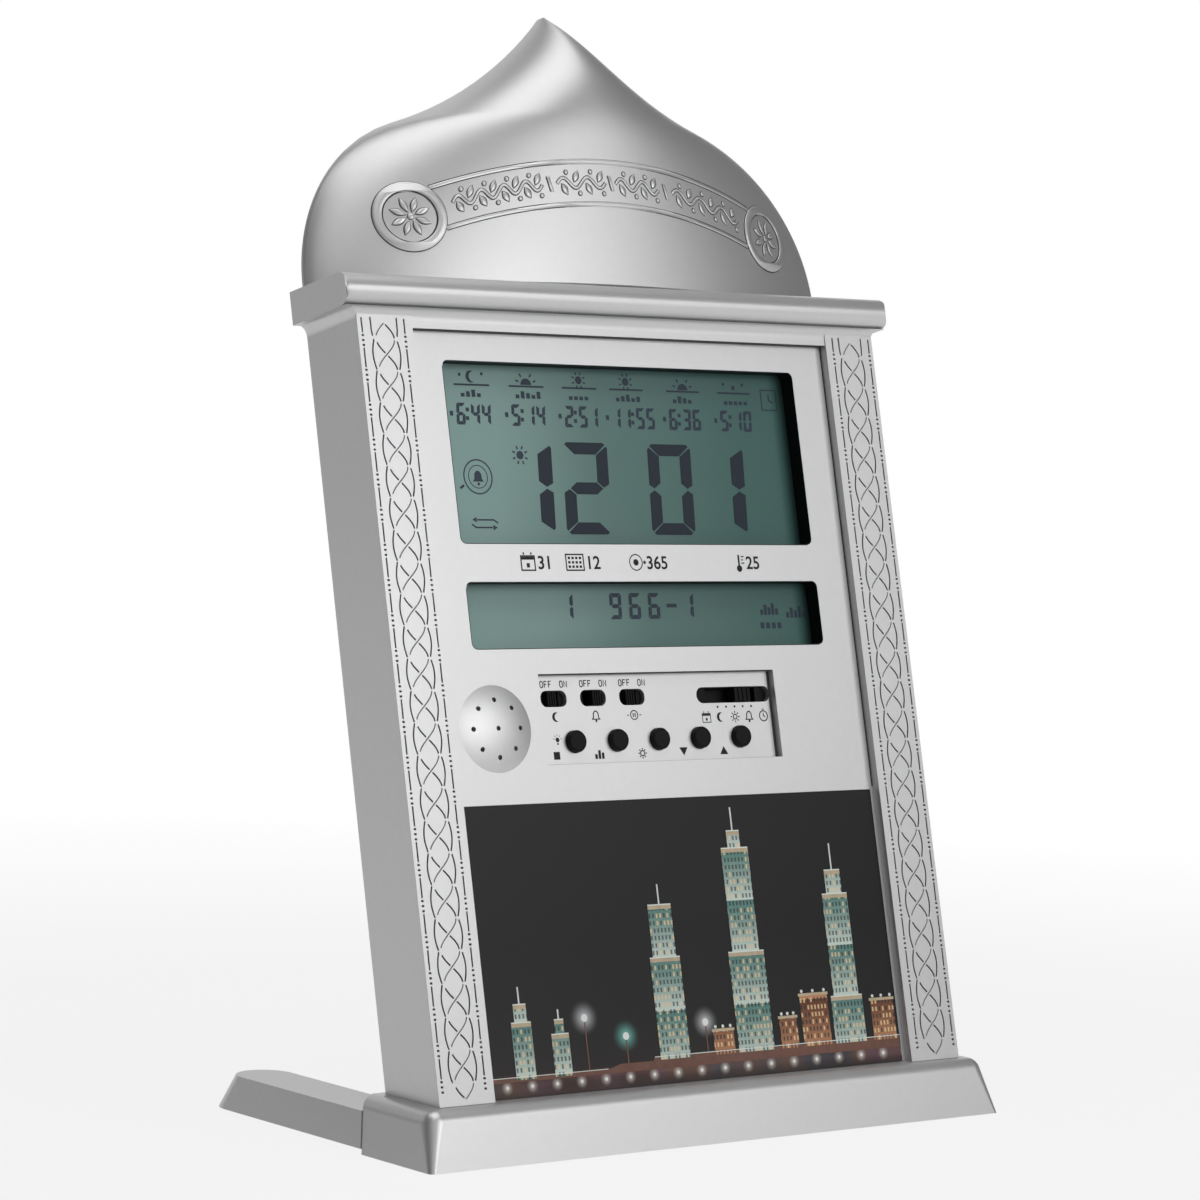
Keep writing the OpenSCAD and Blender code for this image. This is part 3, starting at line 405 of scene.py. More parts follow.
def figure(sign, width, height, thick, gap, flat=None):
    """One seven-segment figure with its lower left corner at the origin. Its level parts are flat high."""
    mid, flat = height / 2, flat or thick
    cut = thick * 0.3
    top = [(gap + cut, height), (width - gap - cut, height), (width - gap - cut * 0.4, height - cut * 0.5),
        (width - gap - thick * 0.95, height - flat), (gap + thick * 0.95, height - flat),
        (gap + cut * 0.4, height - cut * 0.5)]
    side = [(width, height - gap - cut), (width - cut * 0.4, height - gap - cut * 0.55),
        (width - thick, height - gap - flat * 0.95), (width - thick, mid + flat * 0.45 + gap),
        (width - thick * 0.45, mid + gap * 0.8), (width, mid + flat * 0.3 + gap * 0.8)]
    left, half = thick + gap, flat / 2
    middle = [(thick * 0.45 + gap, mid), (left, mid + half), (width - left, mid + half),
        (width - thick * 0.45 - gap, mid), (width - left, mid - half), (left, mid - half)]

    def upturned(outline):
        return [(x, height - y) for x, y in outline]

    def across(outline):
        return [(width - x, y) for x, y in outline]

    parts = {"a": top, "b": side, "c": upturned(side), "d": upturned(top), "e": upturned(across(side)),
        "f": across(side), "g": middle}
    return [[parts[key]] for key in LIT[sign]]


def figures(text, x, y, width, height, thick, pitch, gap, slant):
    """A row of figures. A colon takes a third of a figure's room."""
    groups = []
    for sign in text:
        if sign == ":":
            spot = thick * 0.55
            for part in (0.3, 0.7):
                groups += moved([bar(-spot, -spot, spot, spot)], x + slant * height * part, y + height * part)
            x += pitch * 0.35
        else:
            groups += moved(figure(sign, width, height, thick, gap), x, y, 1, slant)
            x += pitch
    return groups


# Making pieces

def only(obj):
    """Makes obj the one selected and active object."""
    if bpy.context.object and bpy.context.object.mode != "OBJECT":
        bpy.ops.object.mode_set(mode="OBJECT")
    bpy.ops.object.select_all(action="DESELECT")
    obj.select_set(True)
    bpy.context.view_layer.objects.active = obj


def in_edit_mode(obj, *steps):
    only(obj)
    bpy.ops.object.mode_set(mode="EDIT")
    bpy.ops.mesh.select_all(action="SELECT")
    for step in steps:
        step()
    bpy.ops.object.mode_set(mode="OBJECT")


def pick_faces(obj, chosen, kind=None):
    """Opens obj in edit mode with only the chosen faces selected, and returns their number."""
    only(obj)
    bpy.ops.object.mode_set(mode="EDIT")
    if kind:
        bpy.ops.mesh.select_mode(type=kind)
    mesh = bmesh.from_edit_mesh(obj.data)
    for face in mesh.faces:
        face.select_set(chosen(face))
    number = sum(face.select for face in mesh.faces)
    mesh.select_flush_mode()
    bmesh.update_edit_mesh(obj.data)
    return number


def join_doubles():
    """Joins the points of a mesh in metres."""
    bpy.ops.mesh.remove_doubles(threshold=1e-6)


def join_drawn():
    """Joins the points of a mesh in millimetres."""
    bpy.ops.mesh.remove_doubles(threshold=1e-4)


def point_outwards():
    bpy.ops.mesh.normals_make_consistent(inside=False)


def extent(group):
    xs = [x for outline in group for x, _ in outline]
    ys = [y for outline in group for _, y in outline]
    return min(xs), min(ys), max(xs), max(ys)


def apart(a, b):
    return a[2] < b[0] or b[2] < a[0] or a[3] < b[1] or b[3] < a[1]


def as_mesh(name, data):
    """Mesh object made of a curve or of text."""
    piece = bpy.data.objects.new(name, data)
    bpy.context.scene.collection.objects.link(piece)
    only(piece)
    bpy.ops.object.convert(target="MESH")
    return bpy.context.object


def flat_piece(name, groups, thick, edge=0.0):
    """Mesh from 0 to thick millimetres along Z, of filled curves. Groups that touch get separate curves."""
    layers = []
    for group in groups:
        room = extent(group)
        for layer in layers:
            if all(apart(room, other) for other, _ in layer):
                layer.append((room, group))
                break
        else:
            layers.append([(room, group)])
    pieces = []
    for layer in layers:
        curve = bpy.data.curves.new(name, "CURVE")
        curve.dimensions = "2D"
        curve.fill_mode = "BOTH"
        curve.extrude = thick / 2 - edge
        curve.bevel_depth = edge
        curve.bevel_resolution = 0
        curve.offset = -edge
        for _, group in layer:
            for outline in group:
                spline = curve.splines.new("POLY")
                spline.points.add(len(outline) - 1)
                spline.points.foreach_set("co", [c for x, y in outline for c in (x, y, 0, 1)])
                spline.use_cyclic_u = True
        pieces.append(as_mesh(name, curve))
    only(pieces[0])
    for piece in pieces[1:]:
        piece.select_set(True)
    if len(pieces) > 1:
        bpy.ops.object.join()
    whole = bpy.context.object
    whole.name = name
    in_edit_mode(whole, join_drawn, point_outwards)
    whole.data.transform(Matrix.Translation((0, 0, thick / 2)))
    return whole


def sheet_matrix(depth=0.0):
    """Takes a sheet in millimetres to the leaning face, at a depth behind the columns' face."""
    foot = Vector((0, sizes().foot_y, column_foot_z())) + INWARD * depth * MM
    turn = Matrix((ACROSS, UPWARD, -INWARD)).transposed().to_4x4()
    return Matrix.Translation(foot) @ turn @ Matrix.Scale(MM, 4)


def finish_piece(piece, finish, angle=30):
    """Gives a piece its material, lets it ride on the clock and shades its round sides smooth."""
    only(piece)
    bpy.ops.object.shade_smooth_by_angle(angle=math.radians(angle))
    piece.data.materials.clear()
    piece.data.materials.append(material(finish))
    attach(piece, "clock")


def on_face(name, groups, depth, thick, finish):
    """Flat piece on the leaning face, its back at a depth in millimetres behind the columns' face."""
    piece = flat_piece(name, groups, thick)
    piece.data.transform(sheet_matrix(depth))
    finish_piece(piece, finish)


def ink(name, groups, depth, finish="printing_ink", slot="black_plastic"):
    on_face(name, groups, depth, sizes().print_thickness / MM, finish)


def typed(name, text, x, y, height, depth):
    """Plain numbers in type on the leaning face, from x on, their foot at y."""
    body_to_figure, bolder = 1.4, 0.09
    half = sizes().print_thickness / MM / 2
    data = bpy.data.curves.new(name, "FONT")
    data.body = text
    data.size = height * body_to_figure
    data.extrude = half
    data.offset = bolder
    piece = as_mesh(name, data)
    in_edit_mode(piece, join_drawn, point_outwards)
    piece.data.transform(sheet_matrix(depth) @ Matrix.Translation((x, y, half)))
    finish_piece(piece, "printing_ink")


# Materials, each made once when first asked for

def plain(colour, roughness, spread, gloss=0.5, lift=1.0, grain=900, metallic=0.0, bump=0.00002):
    """What makes plain moulded or turned stuff, given its name: a fine grain and a slow change of shade.
    A word as colour means that colour of ClockColours."""
    def make(name):
        own = shade(getattr(colours(), colour) if isinstance(colour, str) else colour, lift)
        f = Finish(name, Metallic=metallic, Specular_IOR_Level=gloss)
        grains = f.noise(grain, 2)
        slow = f.noise(25, 3)
        mixture = grains * 0.5 + slow * 0.5
        f.feed(Base_Color=f.mixed(shade(own, 1 - spread), shade(own, 1 + spread), mixture))
        f.feed(Roughness=(mixture - 0.5) * 0.2 + roughness)
        return f.bump(grains, bump)
    return make


def silver_paint(name):
    """Satin silver paint: fine flakes, a coarser mist and a slow change of shade, gloss and metal."""
    f = Finish(name, IOR=1.45)
    flakes = f.noise(3500, 1)
    mist = f.noise(420, 2)
    slow = f.noise(14, 3)
    mixture = flakes * 0.35 + mist * 0.3 + slow * 0.35
    colour = tuple(colours().paint)
    f.feed(Base_Color=f.mixed(shade(colour, 0.93), shade(colour, 1.07), mixture))
    f.feed(Roughness=(flakes - 0.5) * 0.12 + (slow - 0.5) * 0.06 + 0.42)
    f.feed(Metallic=(flakes - 0.5) * 0.2 + 0.75)
    return f.bump(mist, 0.00003, 0.15)


def windows():
    """The two display windows on the leaning face in millimetres: left, low, right, high."""
    border = 3.6
    return [(x0 + border, y0 + border, x1 - border, y1 - border)
        for x0, y0, x1, y1 in (on_sheet("time_display"), on_sheet("date_display"))]


def face_paint(name):
    """Silver paint that ends at the edges of the two display windows, whose sides are black."""
    f = silver_paint(name)
    across, up, depth = f.on_face()
    inside, margin, wall_top = 0, 0.06, 2.52
    for x0, y0, x1, y1 in windows():
        near_x = (across - (x0 + x1) / 2).by("ABSOLUTE") < (x1 - x0) / 2 + margin
        near_y = (up - (y0 + y1) / 2).by("ABSOLUTE") < (y1 - y0) / 2 + margin
        inside = near_x * near_y + inside
    walls = inside * (depth > wall_top)
    paint = f.shader.inputs["Base Color"].links[0].from_socket
    return f.feed(Base_Color=f.mixed(Value(f, paint), tuple(colours().black), walls.limited()))


def display_glass(name):
    """Grey-green reflective glass, with painted shade from light at its left to dark at its right and a
    painted reflection darkening its right edge.
    """
    f = Finish(name, Specular_IOR_Level=0.25)
    across, up, _ = f.on_face()
    slow = f.noise(30, 2)
    fine = f.noise(2400, 1)
    width, middle, lower_top = 132, 170, 150
    # Painted shade: the glass's tone runs from light at the left to dark at the right, and changes a little
    # with height and over the lower display.
    along = (across + width / 2) / width + (slow - 0.5) * 0.1 - (up - middle) / 1200 - (up < lower_top) * 0.13
    c = colours()
    half_way = tuple(0.34 * a + 0.66 * b for a, b in zip(c.glass_light, c.glass_dark))
    tone = f.ramp(along.limited(), [(0.0, shade(c.glass_light, 1.05)), (0.15, shade(c.glass_light, 0.97)),
        (0.42, half_way), (0.84, shade(c.glass_dark, 1.05)), (1.0, tuple(c.glass_dark))])
    # Painted reflection: the black wall beside the glass, mirrored as a dark band along the glass's right
    # edge.
    shadow_start, shadow_width = 58.5, 5.0
    edge = ((across - shadow_start) / shadow_width).limited() ** 1.5
    tone = f.mixed(tone, shade(c.glass_dark, 0.18), edge * 0.85)
    f.feed(Base_Color=f.mixed(tone, shade(c.glass_light, 0.6), (fine - 0.3) * 0.16))
    f.feed(Roughness=fine * 0.1 + 0.33)
    return f.bump(fine, 0.00001, 0.1)


def circuit_board(name):
    """Green solder mask over copper tracks."""
    f = Finish(name, IOR=1.5)
    cells = f.add("ShaderNodeTexBrick", {"offset": 0.37, "squash": 1.7},
        {"Vector": f.place, "Scale": 320.0, "Mortar Size": 0.03, "Color1": (1, 1, 1, 1),
         "Color2": (0.7, 0.7, 0.7, 1), "Mortar": (0, 0, 0, 1)}, "Fac")
    slow = f.noise(60, 2)
    mask = f.mixed((0.012, 0.09, 0.04), (0.02, 0.13, 0.06), slow)
    f.feed(Base_Color=f.mixed(mask, (0.05, 0.2, 0.09), cells))
    f.feed(Roughness=slow * 0.2 + 0.3)
    return f.bump(cells, 0.00004)


def battery_wrap(name):
    """Plain dark wrap with a lighter band, and bare metal at both ends."""
    f = Finish(name)
    from_middle = f.on_face()[0].by("ABSOLUTE")
    fine = f.noise(700, 2)
    band_start, band_end, metal_start = 9, 16, 27.2
    band = (from_middle < band_end) * (from_middle > band_start)
    ends = from_middle > metal_start
    wrap = f.mixed(f.mixed((0.03, 0.045, 0.07), (0.05, 0.07, 0.1), fine), (0.42, 0.43, 0.42), band)
    f.feed(Base_Color=f.mixed(wrap, tuple(colours().steel), ends), Metallic=ends.limited())
    return f.feed(Roughness=fine * 0.15 + 0.28)


def night_print(name):
    """Print of a night sky over a lit square, with a row of lights and the glow of taller lamps."""
    f = Finish(name, Specular_IOR_Level=0.22)
    across, up, _ = f.on_face()
    print_height, square_top, glow = 82, 7.2, 2.3
    grain = f.noise(1800, 2)
    haze = f.noise(22, 3)
    sky = f.ramp((up / print_height + (haze - 0.5) * 0.12).limited(),
        [(0.0, (0.035, 0.028, 0.026)), (0.22, (0.018, 0.017, 0.018)), (0.5, tuple(colours().sky)),
         (1.0, shade(colours().sky, 0.8))])
    sky = f.mixed(sky, (0.02, 0.02, 0.022), (grain - 0.35) * 0.35)
    streaks = f.noise(230, 3, (0.1, 1.0, 1.0))
    hue = f.ramp(f.noise(30, 2, (1.0, 0.3, 0.3)), [(0.34, (0.16, 0.07, 0.06)), (0.46, (0.26, 0.13, 0.17)),
        (0.56, (0.3, 0.16, 0.1)), (0.68, (0.14, 0.12, 0.15))])
    square = ((square_top - up) / 2.5).limited() * (streaks * 1.4 - 0.2).limited()
    sky = f.mixed(sky, hue, square * (up / 5).limited())
    along = ((across - LIGHT_START) / LIGHT_PITCH).by("FRACT")
    near = ((along - 0.5) * LIGHT_PITCH) ** 2 + (up - LIGHT_ROW) ** 2
    sky = f.mixed(sky, (0.95, 0.88, 0.8), (1 - near.by("SQRT") / glow).limited() ** 2)
    for x, y, radius, tint in LAMPS:
        distance = ((across - x) ** 2 + (up - y) ** 2).by("SQRT")
        sky = f.mixed(sky, tint, (1 - distance / radius).limited() ** 2 * 0.9)
    f.feed(Base_Color=sky)
    f.feed(Roughness=grain * 0.08 + 0.3)
    return f.bump(grain, 0.00001, 0.1)


def lit_tower(name, wall, light, seed):
    """Printed tower front under floodlights: bright above each ledge, with rows of small windows."""
    f = Finish(name, Specular_IOR_Level=0.22)
    across, up, _ = f.on_face()
    window_pitch, floor_height, block_height, foot = 1.3, 2.1, 15.0, 6
    half_width, half_height, unlit = 0.24, 0.3, 0.62
    column = (across + 200 + seed) / window_pitch
    row = (up + 100) / floor_height
    cell = f.add("ShaderNodeCombineXYZ", {}, {0: column.by("FLOOR"), 1: row.by("FLOOR"), 2: float(seed)})
    chance = f.add("ShaderNodeTexWhiteNoise", {"noise_dimensions": "3D"}, {"Vector": cell})
    open_x = (column.by("FRACT") - 0.5).by("ABSOLUTE") < half_width
    open_y = (row.by("FRACT") - 0.5).by("ABSOLUTE") < half_height
    rise = ((up - foot) / block_height).by("FRACT")
    grain = f.noise(1500, 2)
    flood = (1 - rise) ** 1.5 * 0.9 + (grain - 0.5) * 0.2
    front = f.mixed(wall, light, flood.limited())
    glass = f.mixed((0.03, 0.04, 0.045), (1.0, 0.74, 0.4), chance > unlit)
    f.feed(Base_Color=f.mixed(front, glass, open_x * open_y * 0.75))
    return f.feed(Roughness=grain * 0.08 + 0.32)


MAKERS = {
    "silver_paint": silver_paint,
    "face_paint": face_paint,
    "display_glass": display_glass,
    "circuit_board": circuit_board,
    "battery_wrap": battery_wrap,
    "printed_card": night_print,
    "pale_tower": partial(lit_tower, wall=(0.12, 0.27, 0.24), light=(0.8, 0.9, 0.82), seed=3),
    "warm_tower": partial(lit_tower, wall=(0.17, 0.06, 0.035), light=(0.72, 0.36, 0.19), seed=8),
    "black_plastic": plain("black", 0.45, 0.25, 0.12),
    "black_rubber": plain((0.02, 0.02, 0.02), 0.75, 0.2, bump=0.00006),
    "clear_plastic": plain((0.7, 0.74, 0.7), 0.2, 0.04),
    "component_case": plain((0.02, 0.02, 0.024), 0.5, 0.3),
    "steel": plain("steel", 0.3, 0.08, metallic=1.0),
    "speaker_film": plain((0.05, 0.05, 0.055), 0.35, 0.2),
    "segments": plain("segment", 0.4, 0.18, 0.15),
    "faint_segments": plain("segment", 0.4, 0.15, 0.15, lift=1.7),
    "printing_ink": plain("ink", 0.6, 0.3, 0.2),
    "ledge_light": plain((0.62, 0.5, 0.34), 0.35, 0.45, 0.22, grain=420),
    "crown_light": plain((0.85, 0.9, 0.84), 0.35, 0.12, 0.22),
    "lamp_light": plain((0.98, 0.98, 0.96), 0.35, 0.02, 0.22),
    # Painted shade: the three dark finishes below are laid in grooves, on recess walls and along edges where
    # shade falls.
    "groove_shade": plain((0.05, 0.05, 0.05), 0.6, 0.2, 0.2),
    "soft_shade": plain((0.2, 0.2, 0.2), 0.5, 0.15, 0.3),
    "outline_shade": plain((0.055, 0.055, 0.055), 0.5, 0.3, 0.2),
    "square_stone": plain((0.2, 0.1, 0.075), 0.35, 0.35, 0.22, grain=500),
}
MADE = {}


def material(name):
    if name not in MADE:
        MADE[name] = MAKERS[name](name).material
    return MADE[name]


def on_sheet(node):
    """A node's box on the leaning face in millimetres: left, low, right, high."""
    back = sheet_matrix().inverted()
    points = [back @ v.co for v in NODES[node].data.vertices]
    return (min(p.x for p in points), min(p.y for p in points),
        max(p.x for p in points), max(p.y for p in points))


# Operators

class ClockOperator(bpy.types.Operator):
    """Step in dressing the clock"""
    bl_options = {"REGISTER", "UNDO"}


class CLOCK_OT_finishes(ClockOperator):
    """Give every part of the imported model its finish"""
    bl_idname = "clock.finishes"
    bl_label = "Finishes"

    def execute(self, context):
        for node, obj in NODES.items():
            finish = "face_paint" if node == "face_panel" else SLOTS[node]
            finish = "silver_paint" if finish == "silver_plastic" else finish
            obj.data.materials.clear()
            obj.data.materials.append(material(finish))
        return {"FINISHED"}


def join_flat():
    bpy.ops.mesh.dissolve_limited(angle_limit=math.radians(0.05))


def joined_copy(node, *steps):
    """Copy of a part with its triangles joined, shown in the part's place."""
    copy = NODES[node].copy()
    copy.data = NODES[node].data.copy()
    copy.name = node + "_finished"
    if "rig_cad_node" in copy:
        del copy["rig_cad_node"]
    bpy.context.scene.collection.objects.link(copy)
    copy.parent = None
    in_edit_mode(copy, join_doubles, *steps)
    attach(copy, BODY_OF[node])
    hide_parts(node)
    return copy


def shade_round(obj, angle=30):
    """Shades round sides smooth, with flat sides kept flat beside them."""
    only(obj)
    bpy.ops.object.shade_smooth_by_angle(angle=math.radians(angle))
    bpy.ops.object.modifier_add(type="WEIGHTED_NORMAL")
    obj.modifiers[-1].keep_sharp = True
    bpy.ops.object.modifier_apply(modifier=obj.modifiers[-1].name)


class CLOCK_OT_smooth_parts(ClockOperator):
    """Show the round parts by copies that are shaded smooth"""
    bl_idname = "clock.smooth_parts"
    bl_label = "Smooth parts"

    def execute(self, context):
        for node in ("front_housing", "rear_cover", "dome_cover", "battery_door",
                "stop_button", "city_button", "set_button", "down_button", "up_button",
                "left_leg_pad", "right_leg_pad", "upper_cell", "lower_cell", "control_plate",
                "cover_screws", "plinth_screws", "plinth_base"):
            shade_round(joined_copy(node, join_flat))
        for node in ("plinth_shell", "left_leg", "right_leg"):
            shade_round(joined_copy(node, join_flat), 40)
        self.round_grille()
        return {"FINISHED"}

    def round_grille(self):
        """Shades the bulge of the speaker's grille as the part of a ball that it is."""
        panel = joined_copy("face_panel")
        s = sizes()
        ball = (s.grille_radius ** 2 + s.grille_rise ** 2) / (2 * s.grille_rise)
        middle = (ball - s.grille_rise + s.panel_depth) / MM
        centre = sheet_matrix(middle) @ Vector((s.grille_x / MM, s.grille_z / MM, 0))

        def on_bulge(face):
            near = all(abs((v.co - centre).length - ball) < BALL_SLACK for v in face.verts)
            return near and face.normal.dot(INWARD) < 0

        if not pick_faces(panel, on_bulge, "FACE"):
            raise RuntimeError("the grille's bulge was not found")
        bpy.ops.mesh.region_to_loop()
        bpy.ops.mesh.mark_sharp()
        bpy.ops.mesh.select_mode(type="FACE")
        bpy.ops.object.mode_set(mode="OBJECT")
        shade_round(panel, 8)
        pick_faces(panel, on_bulge, "FACE")
        bpy.ops.mesh.point_normals(mode="COORDINATES", invert=True, target_location=centre)
        bpy.ops.object.mode_set(mode="OBJECT")


class DomeForm:
    """The dome's outside as the source draws it, in millimetres on the leaning face."""
    width, height, bulge, shoulder, sweep = 189.6, 87.6, 25.0, 52.3, 135.0
    skirt, fall, tip, back, base = 2.0, 45.0, 2.4, 24.4, 231.0
    pillow, curve = 1.43, 2.8

    def __init__(self):
        cx, cz = self.width / 2 - self.shoulder, self.skirt
        span = self.shoulder + self.sweep
        gap = math.hypot(cx, self.height - cz)
        way = (-cx / gap, (self.height - cz) / gap)
        along = (span ** 2 - self.sweep ** 2 + gap ** 2) / (2 * gap)
        aside = math.sqrt(span ** 2 - along ** 2)
        self.centre = (cx, cz)
        self.outer = (cx + along * way[0] + aside * way[1], cz + along * way[1] - aside * way[0])
        self.meet = cz + self.shoulder * (self.outer[1] - cz) / span

    def half_width(self, z):
        if z <= self.skirt:
            return self.width / 2
        if z <= self.meet:
            return self.centre[0] + math.sqrt(self.shoulder ** 2 - (z - self.centre[1]) ** 2)
        return self.outer[0] - math.sqrt(max(0, self.sweep ** 2 - (z - self.outer[1]) ** 2))

    def depth(self, z):
        fallen = max(0, z - self.height + self.fall) / self.fall
        return self.bulge - (self.bulge - self.tip) * fallen ** self.curve

    def front(self, part, z):
        """Depth behind the columns' face at a part of the half width."""
        return self.back - self.depth(z) * max(0, 1 - part * part) ** (self.pillow / 2)


class CLOCK_OT_dome(ClockOperator):
    """Show the dome by a copy whose outside is divided finely and laid on its true curve"""
    bl_idname = "clock.dome"
    bl_label = "Dome"

    def execute(self, context):
        copy = joined_copy("dome_shell")
        form = DomeForm()
        ahead = sheet_matrix()
        back = ahead.inverted()
        least_width, overshoot, off_form, flat, fewest = 0.01, 1.02, 0.06, 0.01, 400
        same, tip_left = 0.002, 0.4

        def share(x, z):
            return abs(x / max(form.half_width(z), least_width))

        def on_form(p):
            z = p.y - form.base
            return (-flat < z < form.height and share(p.x, z) < overshoot
                and abs(-p.z - form.front(min(1, share(p.x, z)), z)) < off_form)

        def outside(face):
            points = [back @ v.co for v in face.verts]
            level = max(p.y for p in points) - min(p.y for p in points) < flat
            rim = min(-p.z for p in points) > form.back - 2 * flat
            return all(map(on_form, points)) and not level and not rim

        points = [back @ v.co for v in copy.data.vertices]
        known = sorted({round(p.y, 3) for p in points if on_form(p)})
        chosen = pick_faces(copy, outside)
        if chosen < fewest:
            raise RuntimeError(f"only {chosen} faces of the dome's outside were found")
        bpy.ops.mesh.subdivide(number_cuts=sizes().dome_cuts)
        mesh = bmesh.from_edit_mesh(copy.data)
        chord = {z: form.half_width(z - form.base) for z in known}
        for v in {v for face in mesh.faces if face.select for v in face.verts}:
            p = back @ v.co
            above = next((z for z in known if z >= p.y - same), known[-1])
            below = next((z for z in reversed(known) if z <= p.y + same), known[0])
            part = 0 if above == below else (p.y - below) / (above - below)
            straight = chord[below] + (chord[above] - chord[below]) * part
            share_x = max(-1, min(1, p.x / max(straight, least_width)))
            z = p.y - form.base
            if z < form.height - tip_left:
                v.co = ahead @ Vector((share_x * form.half_width(z), p.y, -form.front(abs(share_x), z)))
        bmesh.update_edit_mesh(copy.data)
        bpy.ops.object.mode_set(mode="OBJECT")
        shade_round(copy, 40)
        return {"FINISHED"}


def column_grooves(centre, borders):
    """One column's carved lines in millimetres: the deep ones, and the shallow strands of the weave."""
    s = sizes()
    cell, pitch, width = s.weave_cell / MM, s.bead_pitch / MM, s.groove_width / MM
    top_cusp, cells, swing, step_along = 212.5, 23, 3.1, 0.4
    outer_shift, outer_swing = 3.8, 0.85
    bead_top, bead_step, bead_half, bead_rows, dash_half, foot = 211.9, 1.4, (0.42, 0.3), 22, 2.75, 1
    deep, shallow = [], []

    def winding(top, start, end, shift, reach, wave):
        """Line over a part of the cell below top; wave gives its place across at each part."""
        count = max(3, round((end - start) * cell / step_along))
        parts = [start + (end - start) * i / count for i in range(count + 1)]
        return [(centre + shift + reach * wave(math.pi * part), top - part * cell) for part in parts]

    for n in range(cells + 2):
        top = top_cusp + cell * (1 - n)
        first, last = (0.5 if n == 0 else 0), (0.5 if n == cells + 1 else 1)
        for start, end in ((0.12, 0.455), (0.545, 0.975)):
            if first <= start and end <= last:
                deep.append(strip(winding(top, start, end, 0, -swing, math.cos), width))
        strand = winding(top, max(first, 0.035), min(last, 0.9), 0, swing, math.cos)
        shallow.append(strip(strand, width * 0.8))
        if 0 < n <= cells:
            deep.append(strip(winding(top, 0.02, 0.98, -outer_shift, -outer_swing, math.sin), width))
            deep.append(strip(winding(top, 0.07, 0.97, outer_shift, outer_swing, math.sin), width))
    for side in (-1, 1):
        deep.append(strip([(centre + side * 4.45, 218.6), (centre + side * 4.4, 215),
            (centre + side * 4.15, 213.2)], width))
    for x in borders:
        for n in range(bead_rows):
            middle = bead_top - pitch * n
            for y in (middle - bead_step, middle, middle + bead_step):
                if y > foot:
                    deep.append(bar(x - bead_half[0], y - bead_half[1], x + bead_half[0], y + bead_half[1]))
            low = middle - pitch / 2
            if low > dash_half + foot / 2:
                deep.append(strip([(x, low + dash_half), (x, low), (x, low - dash_half)], width))
        deep.append(strip([(x, 218.4), (x, 216), (x, 214.1)], width))
    return deep, shallow


class CLOCK_OT_columns(ClockOperator):
    """Lay a carved skin on the face of each column, with sheets of painted shade in its grooves"""
    bl_idname = "clock.columns"
    bl_label = "Column carving"

    def execute(self, context):
        depth = sizes().groove_depth / MM
        hidden, outer, low, high = 2.0, 94.98, 0.05, 219.4
        column_middle, borders = 86.05, (93.5, 79.1)
        knife_thick, knife_low, deep_line, shallow_line = 3.0, -1.0, 0.05, 0.2
        inner = on_sheet("face_panel")[2] - hidden
        for name, sign in (("left_column_carving", -1), ("right_column_carving", 1)):
            x0, x1 = sorted((sign * outer, sign * inner))
            deep, shallow = column_grooves(sign * column_middle, [sign * x for x in borders])
            skin = flat_piece(name, [bar(x0, low, x1, high)], depth)
            knife = flat_piece(name + "_knife", deep + shallow, knife_thick)
            knife.location.z = knife_low
            cut = skin.modifiers.new("carving", "BOOLEAN")
            cut.operation, cut.solver, cut.object = "DIFFERENCE", "EXACT", knife
            only(skin)
            bpy.ops.object.modifier_apply(modifier=cut.name)
            bpy.data.objects.remove(knife)
            skin.data.transform(sheet_matrix())
            finish_piece(skin, "silver_paint")
            # Painted shade: dark sheets lie in the grooves in place of their shadow; the shallow strands get
            # a lighter one, as the light runs along them.
            on_face(name + "_deep_lines", deep, 0.0, deep_line, "groove_shade")
            on_face(name + "_shallow_lines", shallow, 0.0, shallow_line, "soft_shade")
        return {"FINISHED"}


